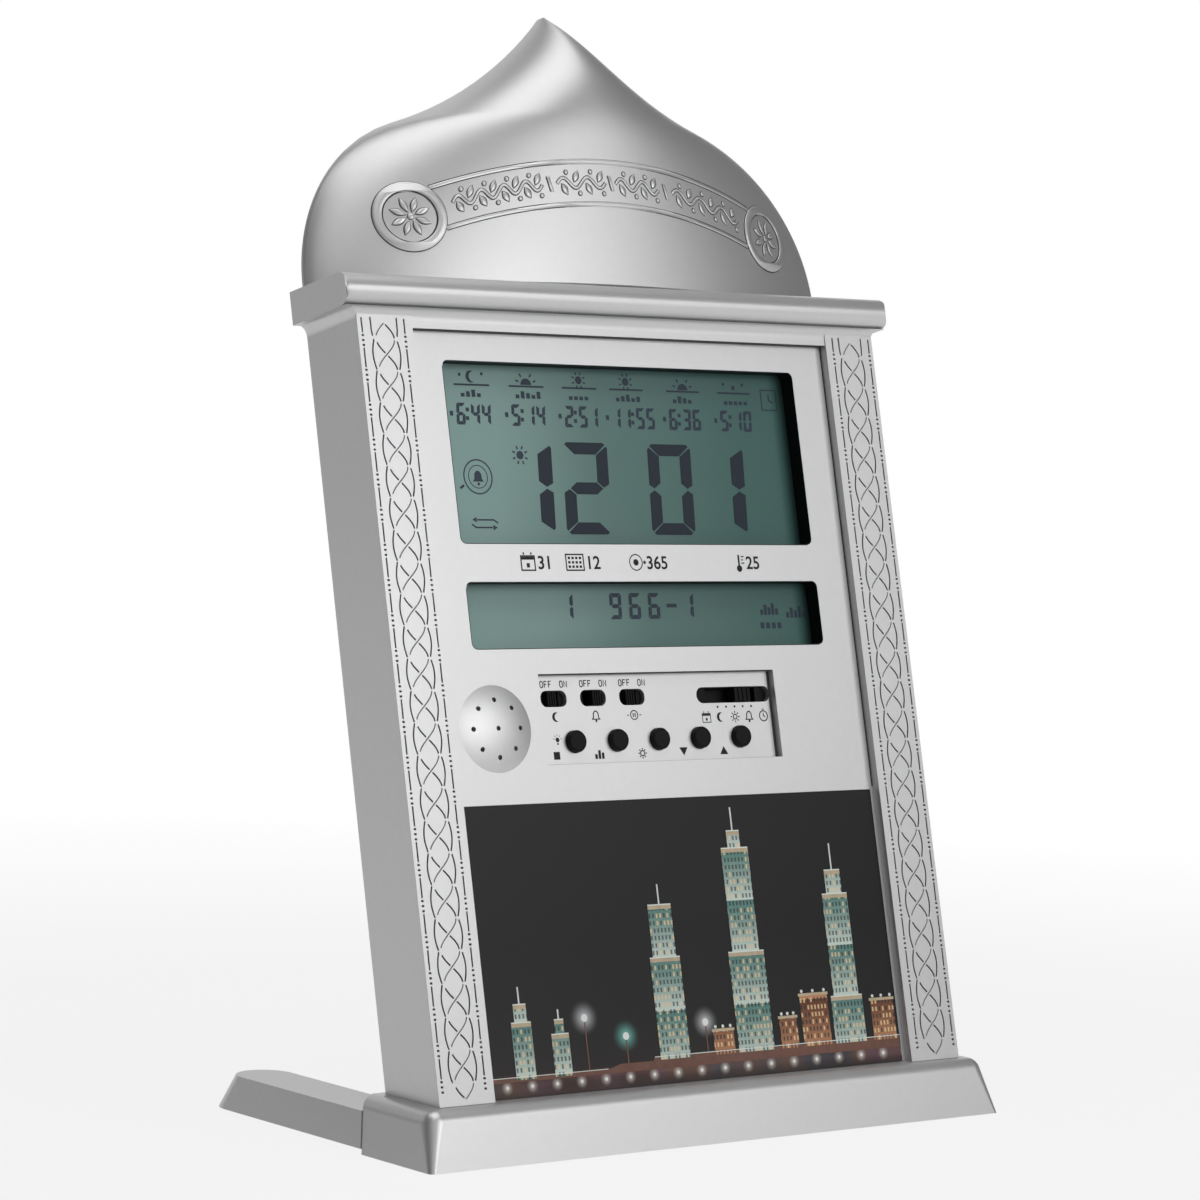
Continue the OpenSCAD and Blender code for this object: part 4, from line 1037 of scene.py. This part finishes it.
class CLOCK_OT_dome_band(ClockOperator):
    """Raise the band, the leaf scroll and the two medallions on the dome, each on a wider dark sheet of
    painted shade along its edges
    """
    bl_idname = "clock.dome_band"
    bl_label = "Dome band"

    def execute(self, context):
        dome = bpy.data.objects["dome_shell_finished"]
        tree = BVHTree.FromObject(dome, context.evaluated_depsgraph_get())
        high, under, edge, round_angle = sizes().relief_height / MM, 0.2, 0.1, 50
        medallion_x, medallion_y = 65.7, 250.95
        pieces = []
        # The grown copies in outline_shade are painted shade: dark sheets under the relief that show as
        # shadow along its edges.
        for name, grow, finish in (("", 0.0, "silver_paint"), ("_outline", 0.23, "outline_shade")):
            pieces += [("dome_band" + name, self.band(grow), high * 0.6, finish),
                ("dome_scroll" + name, self.scroll(grow), high, finish)]
            for side, x in (("left", -medallion_x), ("right", medallion_x)):
                pieces.append((f"{side}_medallion{name}", self.medallion(x, medallion_y, grow), high * 1.2,
                    finish))
        for name, groups, thick, finish in pieces:
            outline = finish == "outline_shade"
            piece = flat_piece(name, groups, under if outline else thick, 0.0 if outline else edge)
            self.lay_on(piece, tree)
            finish_piece(piece, finish, round_angle)
        return {"FINISHED"}

    def lay_on(self, piece, tree):
        """Moves each point onto the dome, and out from it by the point's own height."""
        ahead, clear, sunk = sheet_matrix(), 60, 0.12
        for v in piece.data.vertices:
            start = ahead @ Vector((v.co.x, v.co.y, clear))
            place, normal, _, _ = tree.ray_cast(start, INWARD)
            if place is None:
                raise RuntimeError(f"{piece.name} reaches past the dome")
            v.co = place + normal * (v.co.z - sunk) * MM

    def band(self, grow):
        """The band's upper and lower borders, grown by a margin on each side."""
        def line(height, fall, reach):
            count, width = 60, 1.15
            places = [-reach + 2 * reach * i / count for i in range(count + 1)]
            return strip([(x, height - fall * x * x) for x in places], width + 2 * grow)
        return [line(268.1, 0.0025, 59.2), line(255.4, 0.00262, 55.8)]

    def scroll(self, grow):
        """A winding stem with leaves and berries in four lengths, grown by a margin on each side."""
        groups = []
        middle, fall, wave_length, wave_height, stem = 261.8, 0.0025, 8.2, 1.6, 0.7

        def bent(outlines):
            return [[(x, y + middle - fall * x * x) for x, y in outline] for outline in outlines]

        for start, end in ((-53, -24), (-19, -1.8), (2, 18.5), (24, 52.5)):
            turns = max(1, round((end - start) / wave_length))
            count = turns * 16
            wave = [(start + (end - start) * i / count,
                wave_height * math.sin(2 * math.pi * turns * i / count)) for i in range(count + 1)]
            groups.append(bent(strip(wave, stem + 2 * grow)))
            for k in range(turns * 2):
                x = start + (end - start) * (k + 0.5) / (turns * 2)
                side = 1 if k % 2 == 0 else -1
                groups.append(bent(leaf(x - 0.6 - grow * 0.3, -side * (0.2 - grow), 3.7 + 2 * grow,
                    1.7 + 2.4 * grow, -side * 62)))
                groups.append(bent(disc(x + 1.3, side * 3.2, 0.6 + grow, 10)))
        for x in (-21.5, 0.1, 21.3):
            groups.append(bent([[(x - 0.9 - grow, 2.3), (x - 0.1 + grow, 2.3), (x + 0.9 + grow, -2.3),
                (x + 0.1 - grow, -2.3)]]))
        return groups

    def medallion(self, x, y, grow):
        """A rim with a flower in it, grown by a margin on each side."""
        radius = sizes().medallion_radius / MM
        groups = [disc(x, y, radius + grow, 72) + disc(x, y, radius - 2.6 - grow * 1.6, 64)]
        start = 1.5 - grow
        for a in even_turns(8, 0.5):
            stem = (x + start * math.cos(a), y + start * math.sin(a))
            groups.append(leaf(*stem, 4.4 + 2 * grow, 1.6 + 2.2 * grow, math.degrees(a)))
        groups.append(disc(x, y, 0.9 + grow * 0.6, 14))
        return groups


class CLOCK_OT_display_marks(ClockOperator):
    """Lay the dark figures and signs on both displays"""
    bl_idname = "clock.display_marks"
    bl_label = "Display marks"

    def execute(self, context):
        front = 7.98
        figures_foot, figures_height, hours_foot, date_foot = 159.2, 27.0, 190.6, 134.4
        big = []
        for sign, x, width, thick in (("1", -42.6, 15.2, 5.0), ("2", -23.4, 16.4, 4.2), ("0", 7.9, 16.2, 4.2),
                ("1", 28.6, 15.6, 5.0)):
            big += moved(figure(sign, width, figures_height, thick, 0.35, 3.5), x, figures_foot, 1, 0.06)
        ink("large_figures", big, front, "segments", "display_glass")
        small = []
        for k, (text, x) in enumerate((("6:44", -56.8), ("5:14", -37.4), ("2:51", -18.2), ("11:55", -0.9),
                ("6:36", 20.4), ("5:10", 39.9))):
            small += figures(text, x - 1.6, hours_foot, 3.1, 6.3, 1.0, 3.8, 0.08, 0.09)
            small.append(bar(x - 3.6, hours_foot + 2.5, x - 2.5, hours_foot + 3.9))
            small += moved(self.hour_sign(k), x + 5.0, hours_foot + 13.4, 1.2)
            for i in range(k % 2 + 4):
                left, top = x + 0.9 + 1.9 * i, hours_foot + 9.2 + i * (k + 1) % 3 * 0.5
                small.append(bar(left, hours_foot + 8.1, left + 1.3, top))
        small += self.outlined_box(55.4, 197.4, 61.2, 203.5)
        small += self.bell_ring(-53, 175.6)
        small.append(disc(-37.3, 182.1, 1.25, 14))
        small += rays(-37.3, 182.1, 1.85, 2.8, 0.5, even_turns(8, 0.5))
        small += self.arrows(-52.3, 162.1)
        ink("small_signs", small, front, "faint_segments", "display_glass")
        date = []
        for text, x, pitch in (("1", -28.8, 5), ("966", -11.2, 7.1), ("1", 15.6, 5)):
            date += figures(text, x, date_foot, 4.3, 7.6, 1.2, pitch, 0.12, 0.06)
        date += [bar(10.1, date_foot + 3.3, 13.8, date_foot + 4.4)]
        date += self.skyline(45.4, date_foot + 0.9, 7.2) + self.skyline(55.3, date_foot, 7.8)
        date += [bar(44.9 + 2.2 * i, date_foot - 3.2, 46.3 + 2.2 * i, date_foot - 1.4) for i in range(4)]
        ink("date_figures", date, front, "faint_segments", "display_glass")
        return {"FINISHED"}

    def hour_sign(self, k):
        """The sun or moon over a level line, for the six hours of the day."""
        groups = [bar(-5.2, -1.7, 5.2, -1.25)]
        if k == 0:
            moon = arc(0, 0.5, 1.5, 60, 300, 14) + arc(0.75, 0.5, 1.3, 270, 90, 10)
            groups += [[moon], bar(-3.6, 0.6, -2.9, 1.3), bar(2.9, 0.9, 3.6, 1.6)]
        elif k in (1, 4):
            groups += [[arc(0, -1.1, 1.6, 0, 180, 12)]]
            groups += rays(0, -1.1, 2.3, 3.2, 0.4, (0.35, 1.0, 2.14, 2.79))
        elif k == 5:
            groups += [bar(-0.5, -0.6, 0.5, 0.4), bar(-3.4, 0.4, -2.7, 1.1), bar(2.7, 0.4, 3.4, 1.1)]
        else:
            groups += [disc(0, 0.5, 1.0, 12)] + rays(0, 0.5, 1.4, 2.1, 0.36, even_turns(8, 0.5))
        return groups

    def outlined_box(self, x0, y0, x1, y1):
        """A box with the two hands of a clock in it."""
        corners = [(x0, y0), (x1, y0), (x1, y1), (x0, y1)]
        x, y = (x0 + x1) / 2, (y0 + y1) / 2
        return [strip(corners, 0.35, True), strip([(x, y + 1.8), (x, y), (x + 1.4, y - 0.9)], 0.45)]

    def bell_ring(self, x, y):
        bell = mirrored([(1.9, -1.4), (1.3, -0.6), (1.2, 0.8), (0.5, 1.7)])
        groups = [ring(0, 0, 4.9, 0.4, 36), [bell], disc(0, -2.1, 0.45, 8), ring(0, 0, 3.3, 0.25, 30),
            strip([(-6.6, -3.4), (-5.2, -2.5)], 0.7)]
        return moved(groups, x, y)

    def arrows(self, x, y):
        """Two arrows that turn into each other, for a clock that sets itself."""
        arrow = [strip([(4.6, 0.2), (3.2, 1.1), (-2.6, 1.1)], 0.45),
            [[(-4.3, 1.1), (-2.8, 1.9), (-2.8, 0.35)]]]
        return moved(arrow, x, y, -1) + moved(arrow, x, y)

    def skyline(self, x, y, width):
        heights = (1.6, 3.0, 2.2, 3.4, 1.9)
        unit = width / len(heights)
        return [bar(x + unit * i, y, x + unit * (i + 0.75), y + h) for i, h in enumerate(heights)]


def letter(sign, x, y, width, height, line):
    """A plain stroke letter of ON and OFF."""
    if sign == "O":
        corners = [(x + 0.25, y), (x + width - 0.25, y), (x + width, y + 0.3), (x + width, y + height - 0.3),
            (x + width - 0.25, y + height), (x + 0.25, y + height), (x, y + height - 0.3), (x, y + 0.3)]
        return [strip(corners, line, True)]
    if sign == "N":
        return [strip([(x, y), (x, y + height), (x + width, y), (x + width, y + height)], line)]
    half = y + height * 0.52
    return [strip([(x, y), (x, y + height), (x + width, y + height)], line),
        strip([(x, half), (x + width * 0.8, half)], line)]


def word(text, x, y):
    width, height, line, pitch = 0.95, 1.75, 0.31, 1.5
    return [group for i, sign in enumerate(text)
        for group in letter(sign, x + pitch * i, y, width, height, line)]


# Signs about their own middle, in millimetres
SIGNS = {
    "day": [strip([(-2, -1.9), (2, -1.9), (2, 1.5), (-2, 1.5)], 0.36, True), bar(-1.8, 0.62, 1.8, 1.3),
        bar(-1.3, 1.8, -0.9, 2.4), bar(0.9, 1.8, 1.3, 2.4), bar(-0.45, -1.25, 0.45, -0.2)],
    "month": [strip([(-2.6, -1.9), (2.6, -1.9), (2.6, 1.9), (-2.6, 1.9)], 0.36, True)]
        + [bar(-2.0 + 1.1 * i, -1.35 + 1.05 * j, -1.3 + 1.1 * i, -0.75 + 1.05 * j)
            for i in range(4) for j in range(3)],
    "year": [disc(0, 0, 0.85, 14), ring(0, 0, 2.0, 0.3, 30), disc(2.75, 0, 0.45, 10)],
    "thermometer": [disc(0, -1.5, 0.85, 14), strip([(0, -1.0), (0, 1.9)], 0.55), bar(0.8, 1.3, 1.7, 1.6),
        bar(0.8, 0.5, 1.4, 0.8), bar(0.8, -0.3, 1.7, 0.0)],
    "moon": [[arc(0, 0, 1.4, 60, 300, 14) + arc(0.7, 0, 1.21, 270, 90, 10)]],
    "sun": [ring(0, 0, 0.7, 0.34, 16)] + rays(0, 0, 1.1, 1.7, 0.34, even_turns(8)),
    "bell": [strip(mirrored([(1.3, -0.9), (0.9, -0.4), (0.85, 0.7), (0.35, 1.4)]), 0.36, True),
        disc(0, -1.4, 0.38, 8)],
    "clock": [ring(0, 0, 1.5, 0.36, 24), strip([(0, 0.9), (0, 0), (0.6, -0.3)], 0.34),
        bar(-0.4, 1.85, 0.4, 2.15)],
    "pause": [ring(0, 0, 1.3, 0.32, 20), bar(-0.54, -0.6, -0.18, 0.6), bar(0.18, -0.6, 0.54, 0.6),
        bar(-2.6, -0.14, -1.9, 0.14), bar(1.9, -0.14, 2.6, 0.14)],
    "lamp": [disc(0, 0.3, 0.7, 12), bar(-0.3, -1.1, 0.3, -0.6)]
        + rays(0, 0.3, 1.1, 1.6, 0.2, (0.2, 0.9, 1.57, 2.24, 2.94)),
    "town": [bar(0, 0, 0.9, 1.4), bar(1.2, 0, 2.1, 2.5), bar(2.4, 0, 3.3, 1.8)],
    "wheel": [ring(0, 0, 0.75, 0.35, 20)] + rays(0, 0, 1.05, 1.5, 0.4, even_turns(8)),
}


def signs(y, *places):
    """Signs in a row at a height, each with its name, its place across and its scale."""
    return [group for name, x, scale in places for group in moved(SIGNS[name], x, y, scale)]


class CLOCK_OT_face_marks(ClockOperator):
    """Print the signs on the face panel and on the control plate, and lay painted shade along the edges of
    their recesses
    """
    bl_idname = "clock.face_marks"
    bl_label = "Face marks"

    def execute(self, context):
        panel, plate = 2.42, 4.62
        panel_row, numbers_foot, words_foot, dots_foot = 150, 148.1, 114.5, 107.4
        switch_row, selector_row, lamp_row, buttons_foot = 106, 104.7, 99.2, 93.8
        ink("panel_signs", signs(panel_row, ("day", -42.9, 1.2), ("month", -26.2, 1.2), ("year", -4.0, 1.15),
            ("thermometer", 34.6, 1.2)), panel)
        for name, text, x in (("days", "31", -39.6), ("months", "12", -22.3), ("year_days", "365", -0.2),
                ("warmth", "25", 37.2)):
            typed("panel_number_" + name, text, x, numbers_foot, 3.8, panel)
        self.recess_shade(panel, plate)
        marks = []
        for x in (-37.4, -23.3, -9.2):
            marks += word("OFF", x - 4.4, words_foot) + word("ON", x + 2.6, words_foot)
        for x in (22.0, 25.2, 28.4, 31.5, 34.7):
            marks.append(bar(x - 0.32, dots_foot, x + 0.32, dots_foot + 0.6))
        marks += signs(switch_row, ("moon", -37.3, 1), ("bell", -23.1, 1), ("pause", -9.2, 1))
        marks += signs(selector_row, ("day", 17.4, 0.75), ("moon", 22.7, 1), ("sun", 28.2, 1),
            ("bell", 33.5, 1), ("clock", 39.0, 1))
        marks += signs(lamp_row, ("lamp", -37.7, 1))
        marks.append(bar(-39.6, buttons_foot + 0.1, -37.4, buttons_foot + 2.3))
        marks += signs(buttons_foot - 0.1, ("town", -24.9, 1)) + signs(buttons_foot + 1.1, ("wheel", -7.7, 1))
        buttons_top = buttons_foot + 2.4
        for x, foot, tip in ((7.5, buttons_top, buttons_foot), (22.5, buttons_foot, buttons_top)):
            marks.append([[(x - 1.5, foot), (x + 1.5, foot), (x, tip)]])
        ink("plate_signs", marks, plate)
        return {"FINISHED"}

    def recess_shade(self, panel, plate):
        """Painted shade: dark strips on the walls and edges round the face panel and the control plate's
        window, and dark lines along the display windows' edges.
        """
        cornice_overhang, column_width = 4.4, 18.7
        side = on_sheet("front_housing")[2] - (cornice_overhang + column_width)
        top, thin, panel_shade_depth, plate_shade_depth = 216.0, 0.1, 2.3, 2.1
        high = on_sheet("picture_card")[3]
        # Painted shade: a dark skin on the wall along the panel's top, and a dark strip beside its right-hand
        # wall.
        on_face("panel_top_joint", [bar(-side, top - thin, side, top)], panel, panel_shade_depth,
            "groove_shade")
        ink("panel_side_joint", [bar(side - 0.45, high + 1, side, top - thin)], panel, "groove_shade")
        left, right, plate_top = -43.8, 42.7, 118.0
        # Painted shade along the control window's top wall, beside its right wall and at its foot.
        on_face("plate_top_joint", [bar(left, plate_top - thin, right, plate_top)], plate, plate_shade_depth,
            "groove_shade")
        plate_foot, strip_width = 92.4, 0.9
        joint = bar(right - strip_width, plate_foot, right - 0.02, plate_top - 2 * thin)
        ink("plate_side_joint", [joint], plate, "groove_shade")
        line = bar(left + 0.3, plate_foot, right - strip_width - 0.1, plate_foot + 0.16)
        ink("plate_edge_line", [line], plate, "soft_shade")
        # Painted shade: thin dark lines along the display windows' left and bottom edges.
        edges = []
        for x0, y0, x1, y1 in windows():
            r, out = 1.8, 0.1
            x, y = x0 - out, y0 - out
            corner = arc(x0 + r, y0 + r, r + out, 180, 270, 6)[1:-1]
            edges.append(strip([(x, y1 - r), (x, y0 + r)] + corner + [(x0 + r, y), (x1 - r, y)], 0.22))
        ink("window_edges", edges, panel, "outline_shade")


class CLOCK_OT_picture(ClockOperator):
    """Print a plain night town on the picture card"""
    bl_idname = "clock.picture"
    bl_label = "Picture"

    def execute(self, context):
        card, left, right, street = 2.2, -74.6, 74.6, 7.5
        floors, warm, ledges, crowns = [], [], [], []

        def tower(x, low, mast, *blocks):
            """Blocks of half widths and tops that step in, each with a lit edge, under a mast."""
            for half, top in blocks:
                floors.append(bar(x - half, low, x + half, top))
                ledges.append(bar(x - half, top - 1.1, x + half, top))
                crowns.append(bar(x - half, top, x + half, top + 0.35))
                low = top
            crowns.append(bar(x - 0.25, low + 0.36, x + 0.25, mast))

        tower(-10, street, 57, (5.4, 36), (4.2, 51))
        tower(20, street, 78, (6.6, 36), (5.0, 66), (2.4, 71))
        tower(56, street, 66, (6.0, 21), (4.8, 51), (3.0, 58))
        tower(-63, 5.5, 31, (3.4, 21), (2.2, 26))
        tower(-50, 5.5, 24, (3.0, 17), (1.6, 21))
        for x0, x1, top in ((29.5, 36, 16), (38, 48.5, 22), (65, 73.8, 19), (4.5, 12, 14)):
            warm.append(bar(x0, street, x1, top))
            ledges.append(bar(x0 - 0.4, top, x1 + 0.4, top + 0.8))
            crowns += [disc(x, top + 1.4, 0.5, 10) for x in (x0 + 1, (x0 + x1) / 2, x1 - 1)]
        stone = [bar(left, 5.0, right, 6.2), bar(-18, 6.21, right, 8.2),
            [[(-34, 6.21), (-30, 7.4), (-18.1, 7.4), (-18.1, 6.21)]]]
        crowns += [bar(-17.5, 8.3, right, 8.55), bar(left, 6.2, -34.5, 6.4)]
        lights = [disc(LIGHT_START + LIGHT_PITCH * (i + 0.5), LIGHT_ROW, 0.5, 12) for i in range(3, 20)]
        lamps = [disc(x, y, 1.1, 16) for x, y, _, _ in LAMPS]
        poles = [bar(x - 0.2, 6.3, x + 0.2, y - 1.2) for x, y, _, _ in LAMPS]
        layers = (("stone", stone, "square_stone"), ("poles", poles, "square_stone"),
            ("towers", floors, "pale_tower"), ("warm_fronts", warm, "warm_tower"),
            ("ledges", ledges, "ledge_light"), ("crowns", crowns, "crown_light"),
            ("lights", lights + lamps, "lamp_light"))
        for i, (name, groups, finish) in enumerate(layers):
            ink("print_" + name, groups, card - 0.01 - 0.005 * i, finish, "printed_card")
        return {"FINISHED"}


class CLOCK_OT_stage(ClockOperator):
    """Set up the camera, the lights, the floor and the room"""
    bl_idname = "clock.stage"
    bl_label = "Studio"

    def execute(self, context):
        self.camera()
        s = studio()
        self.light("front_light", (0.264, -1.241, 0.612), s.front_power, 0.6)
        self.light("right_light", (0.728, -1.039, 0.612), s.right_power, 0.6)
        self.light("left_light", (-0.593, -0.847, 1.018), s.left_power, 0.7)
        self.light("top_light", (0.0, -0.1, 1.6), s.top_power, 1.4)
        self.light("back_light", (-0.906, 1.08, 0.663), s.back_power, 0.8)
        self.room(s.sky_strength)
        self.floor()
        self.backdrop()
        context.scene.view_settings.view_transform = "Standard"
        return {"FINISHED"}

    def camera(self):
        s = studio()
        yaw, pitch, roll = s.camera_yaw, s.camera_pitch, s.camera_roll
        ahead = Vector((math.sin(yaw) * math.cos(pitch), math.cos(yaw) * math.cos(pitch), math.sin(pitch)))
        right = Vector((math.cos(yaw), -math.sin(yaw), 0))
        top = right.cross(ahead)
        c, n = math.cos(roll), math.sin(roll)
        side, up = right * c + top * n, top * c - right * n
        data = bpy.data.cameras.new("photo_camera")
        data.sensor_width = 36
        data.lens = s.lens
        camera = bpy.data.objects.new("photo_camera", data)
        bpy.context.scene.collection.objects.link(camera)
        turn = Matrix((side, up, -ahead)).transposed().to_4x4()
        camera.matrix_world = Matrix.Translation(s.camera_place) @ turn
        bpy.context.scene.camera = camera

    def light(self, name, place, power, size):
        data = bpy.data.lights.new(name, "AREA")
        data.shape = "SQUARE"
        data.size = size
        data.energy = power
        lamp = bpy.data.objects.new(name, data)
        bpy.context.scene.collection.objects.link(lamp)
        lamp.location = place
        aim = Vector((0, 0, 0.15)) - lamp.location
        lamp.rotation_euler = aim.to_track_quat("-Z", "Y").to_euler()

    def seen(self, f):
        """1 for what the camera, a gloss or a clear part shows of the room."""
        camera = f.add("ShaderNodeLightPath", output="Is Camera Ray")
        outputs = camera.socket.node.outputs
        camera_or_gloss = camera.by("MAXIMUM", Value(f, outputs["Is Glossy Ray"]))
        return camera_or_gloss.by("MAXIMUM", Value(f, outputs["Is Transmission Ray"]))

    def room(self, strength):
        world = bpy.data.worlds.new("studio_room")
        bpy.context.scene.world = world
        world.use_nodes = True
        background = world.node_tree.nodes["Background"].inputs
        background["Color"].default_value = (1, 1, 1, 1)
        background["Strength"].default_value = strength

    def white_paper(self, name, share=1.0):
        """Matt white that shows as plain white to the camera, to gloss and through clear parts."""
        f = Finish(name, Roughness=0.8)
        matt, near = 0.42, 0.3
        f.shader.inputs["Base Color"].default_value = (matt, matt, matt, 1)
        if share != 1.0:
            far = f.vector("LENGTH", f.place, (0, 0, 0), 1)
            share = ((far - near) * 2.0).limited() * (1 - share) + share
        white = f.add("ShaderNodeEmission", {}, {"Strength": 1.0})
        matt_white = Value(f, f.shader.outputs[0])
        mixed = f.add("ShaderNodeMixShader", {}, {0: self.seen(f) * share, 1: matt_white, 2: white})
        f.tree.links.new(mixed.socket, f.tree.nodes["Material Output"].inputs["Surface"])
        return f.material

    def floor(self):
        below_feet = 0.0003
        bpy.ops.mesh.primitive_circle_add(vertices=96, radius=8, fill_type="NGON",
            location=(0, 0, -below_feet))
        floor = bpy.context.object
        floor.name = "studio_floor"
        floor.data.materials.append(self.white_paper("studio_floor", 0.86))

    def backdrop(self):
        """A tall white sheet far behind the clock, bent round the camera's view and the front view."""
        height, sunk, first, last = 8, 0.01, -14, 51
        bpy.ops.mesh.primitive_cylinder_add(vertices=90, radius=7.5, depth=height, end_fill_type="NOTHING",
            location=(0, 0, height / 2 - sunk))
        sheet = bpy.context.object
        sheet.name = "studio_backdrop"

        def out_of_view(face):
            middle = face.calc_center_median()
            return not first < math.degrees(math.atan2(middle.x, middle.y)) < last

        pick_faces(sheet, out_of_view)
        bpy.ops.mesh.delete(type="FACE")
        bpy.ops.object.mode_set(mode="OBJECT")
        sheet.data.materials.append(self.white_paper("studio_backdrop"))


class CLOCK_PT_panel(bpy.types.Panel):
    """Lists the steps and the values of the clock"""
    bl_idname = "CLOCK_PT_panel"
    bl_label = "Domed Digital Clock"
    bl_space_type = "VIEW_3D"
    bl_region_type = "UI"
    bl_category = "Clock"

    def draw(self, context):
        for operator in OPERATORS:
            self.layout.operator(operator.bl_idname)
        for group in (sizes(), colours(), studio()):
            box = self.layout.box()
            for key in type(group).__annotations__:
                box.prop(group, key)


GROUPS = (ClockSizes, ClockColours, ClockStudio)
OPERATORS = (CLOCK_OT_stage, CLOCK_OT_finishes, CLOCK_OT_smooth_parts, CLOCK_OT_dome, CLOCK_OT_columns,
    CLOCK_OT_dome_band, CLOCK_OT_display_marks, CLOCK_OT_face_marks, CLOCK_OT_picture)


def register():
    for cls in GROUPS + OPERATORS + (CLOCK_PT_panel,):
        bpy.utils.register_class(cls)
    bpy.types.Scene.clock_sizes = PointerProperty(type=ClockSizes)
    bpy.types.Scene.clock_colours = PointerProperty(type=ClockColours)
    bpy.types.Scene.clock_studio = PointerProperty(type=ClockStudio)


def unregister():
    del bpy.types.Scene.clock_sizes
    del bpy.types.Scene.clock_colours
    del bpy.types.Scene.clock_studio
    for cls in reversed(GROUPS + OPERATORS + (CLOCK_PT_panel,)):
        bpy.utils.unregister_class(cls)


def main():
    register()
    for operator in OPERATORS:
        group, name = operator.bl_idname.split(".")
        getattr(getattr(bpy.ops, group), name)()


if __name__ == "__main__":
    main()
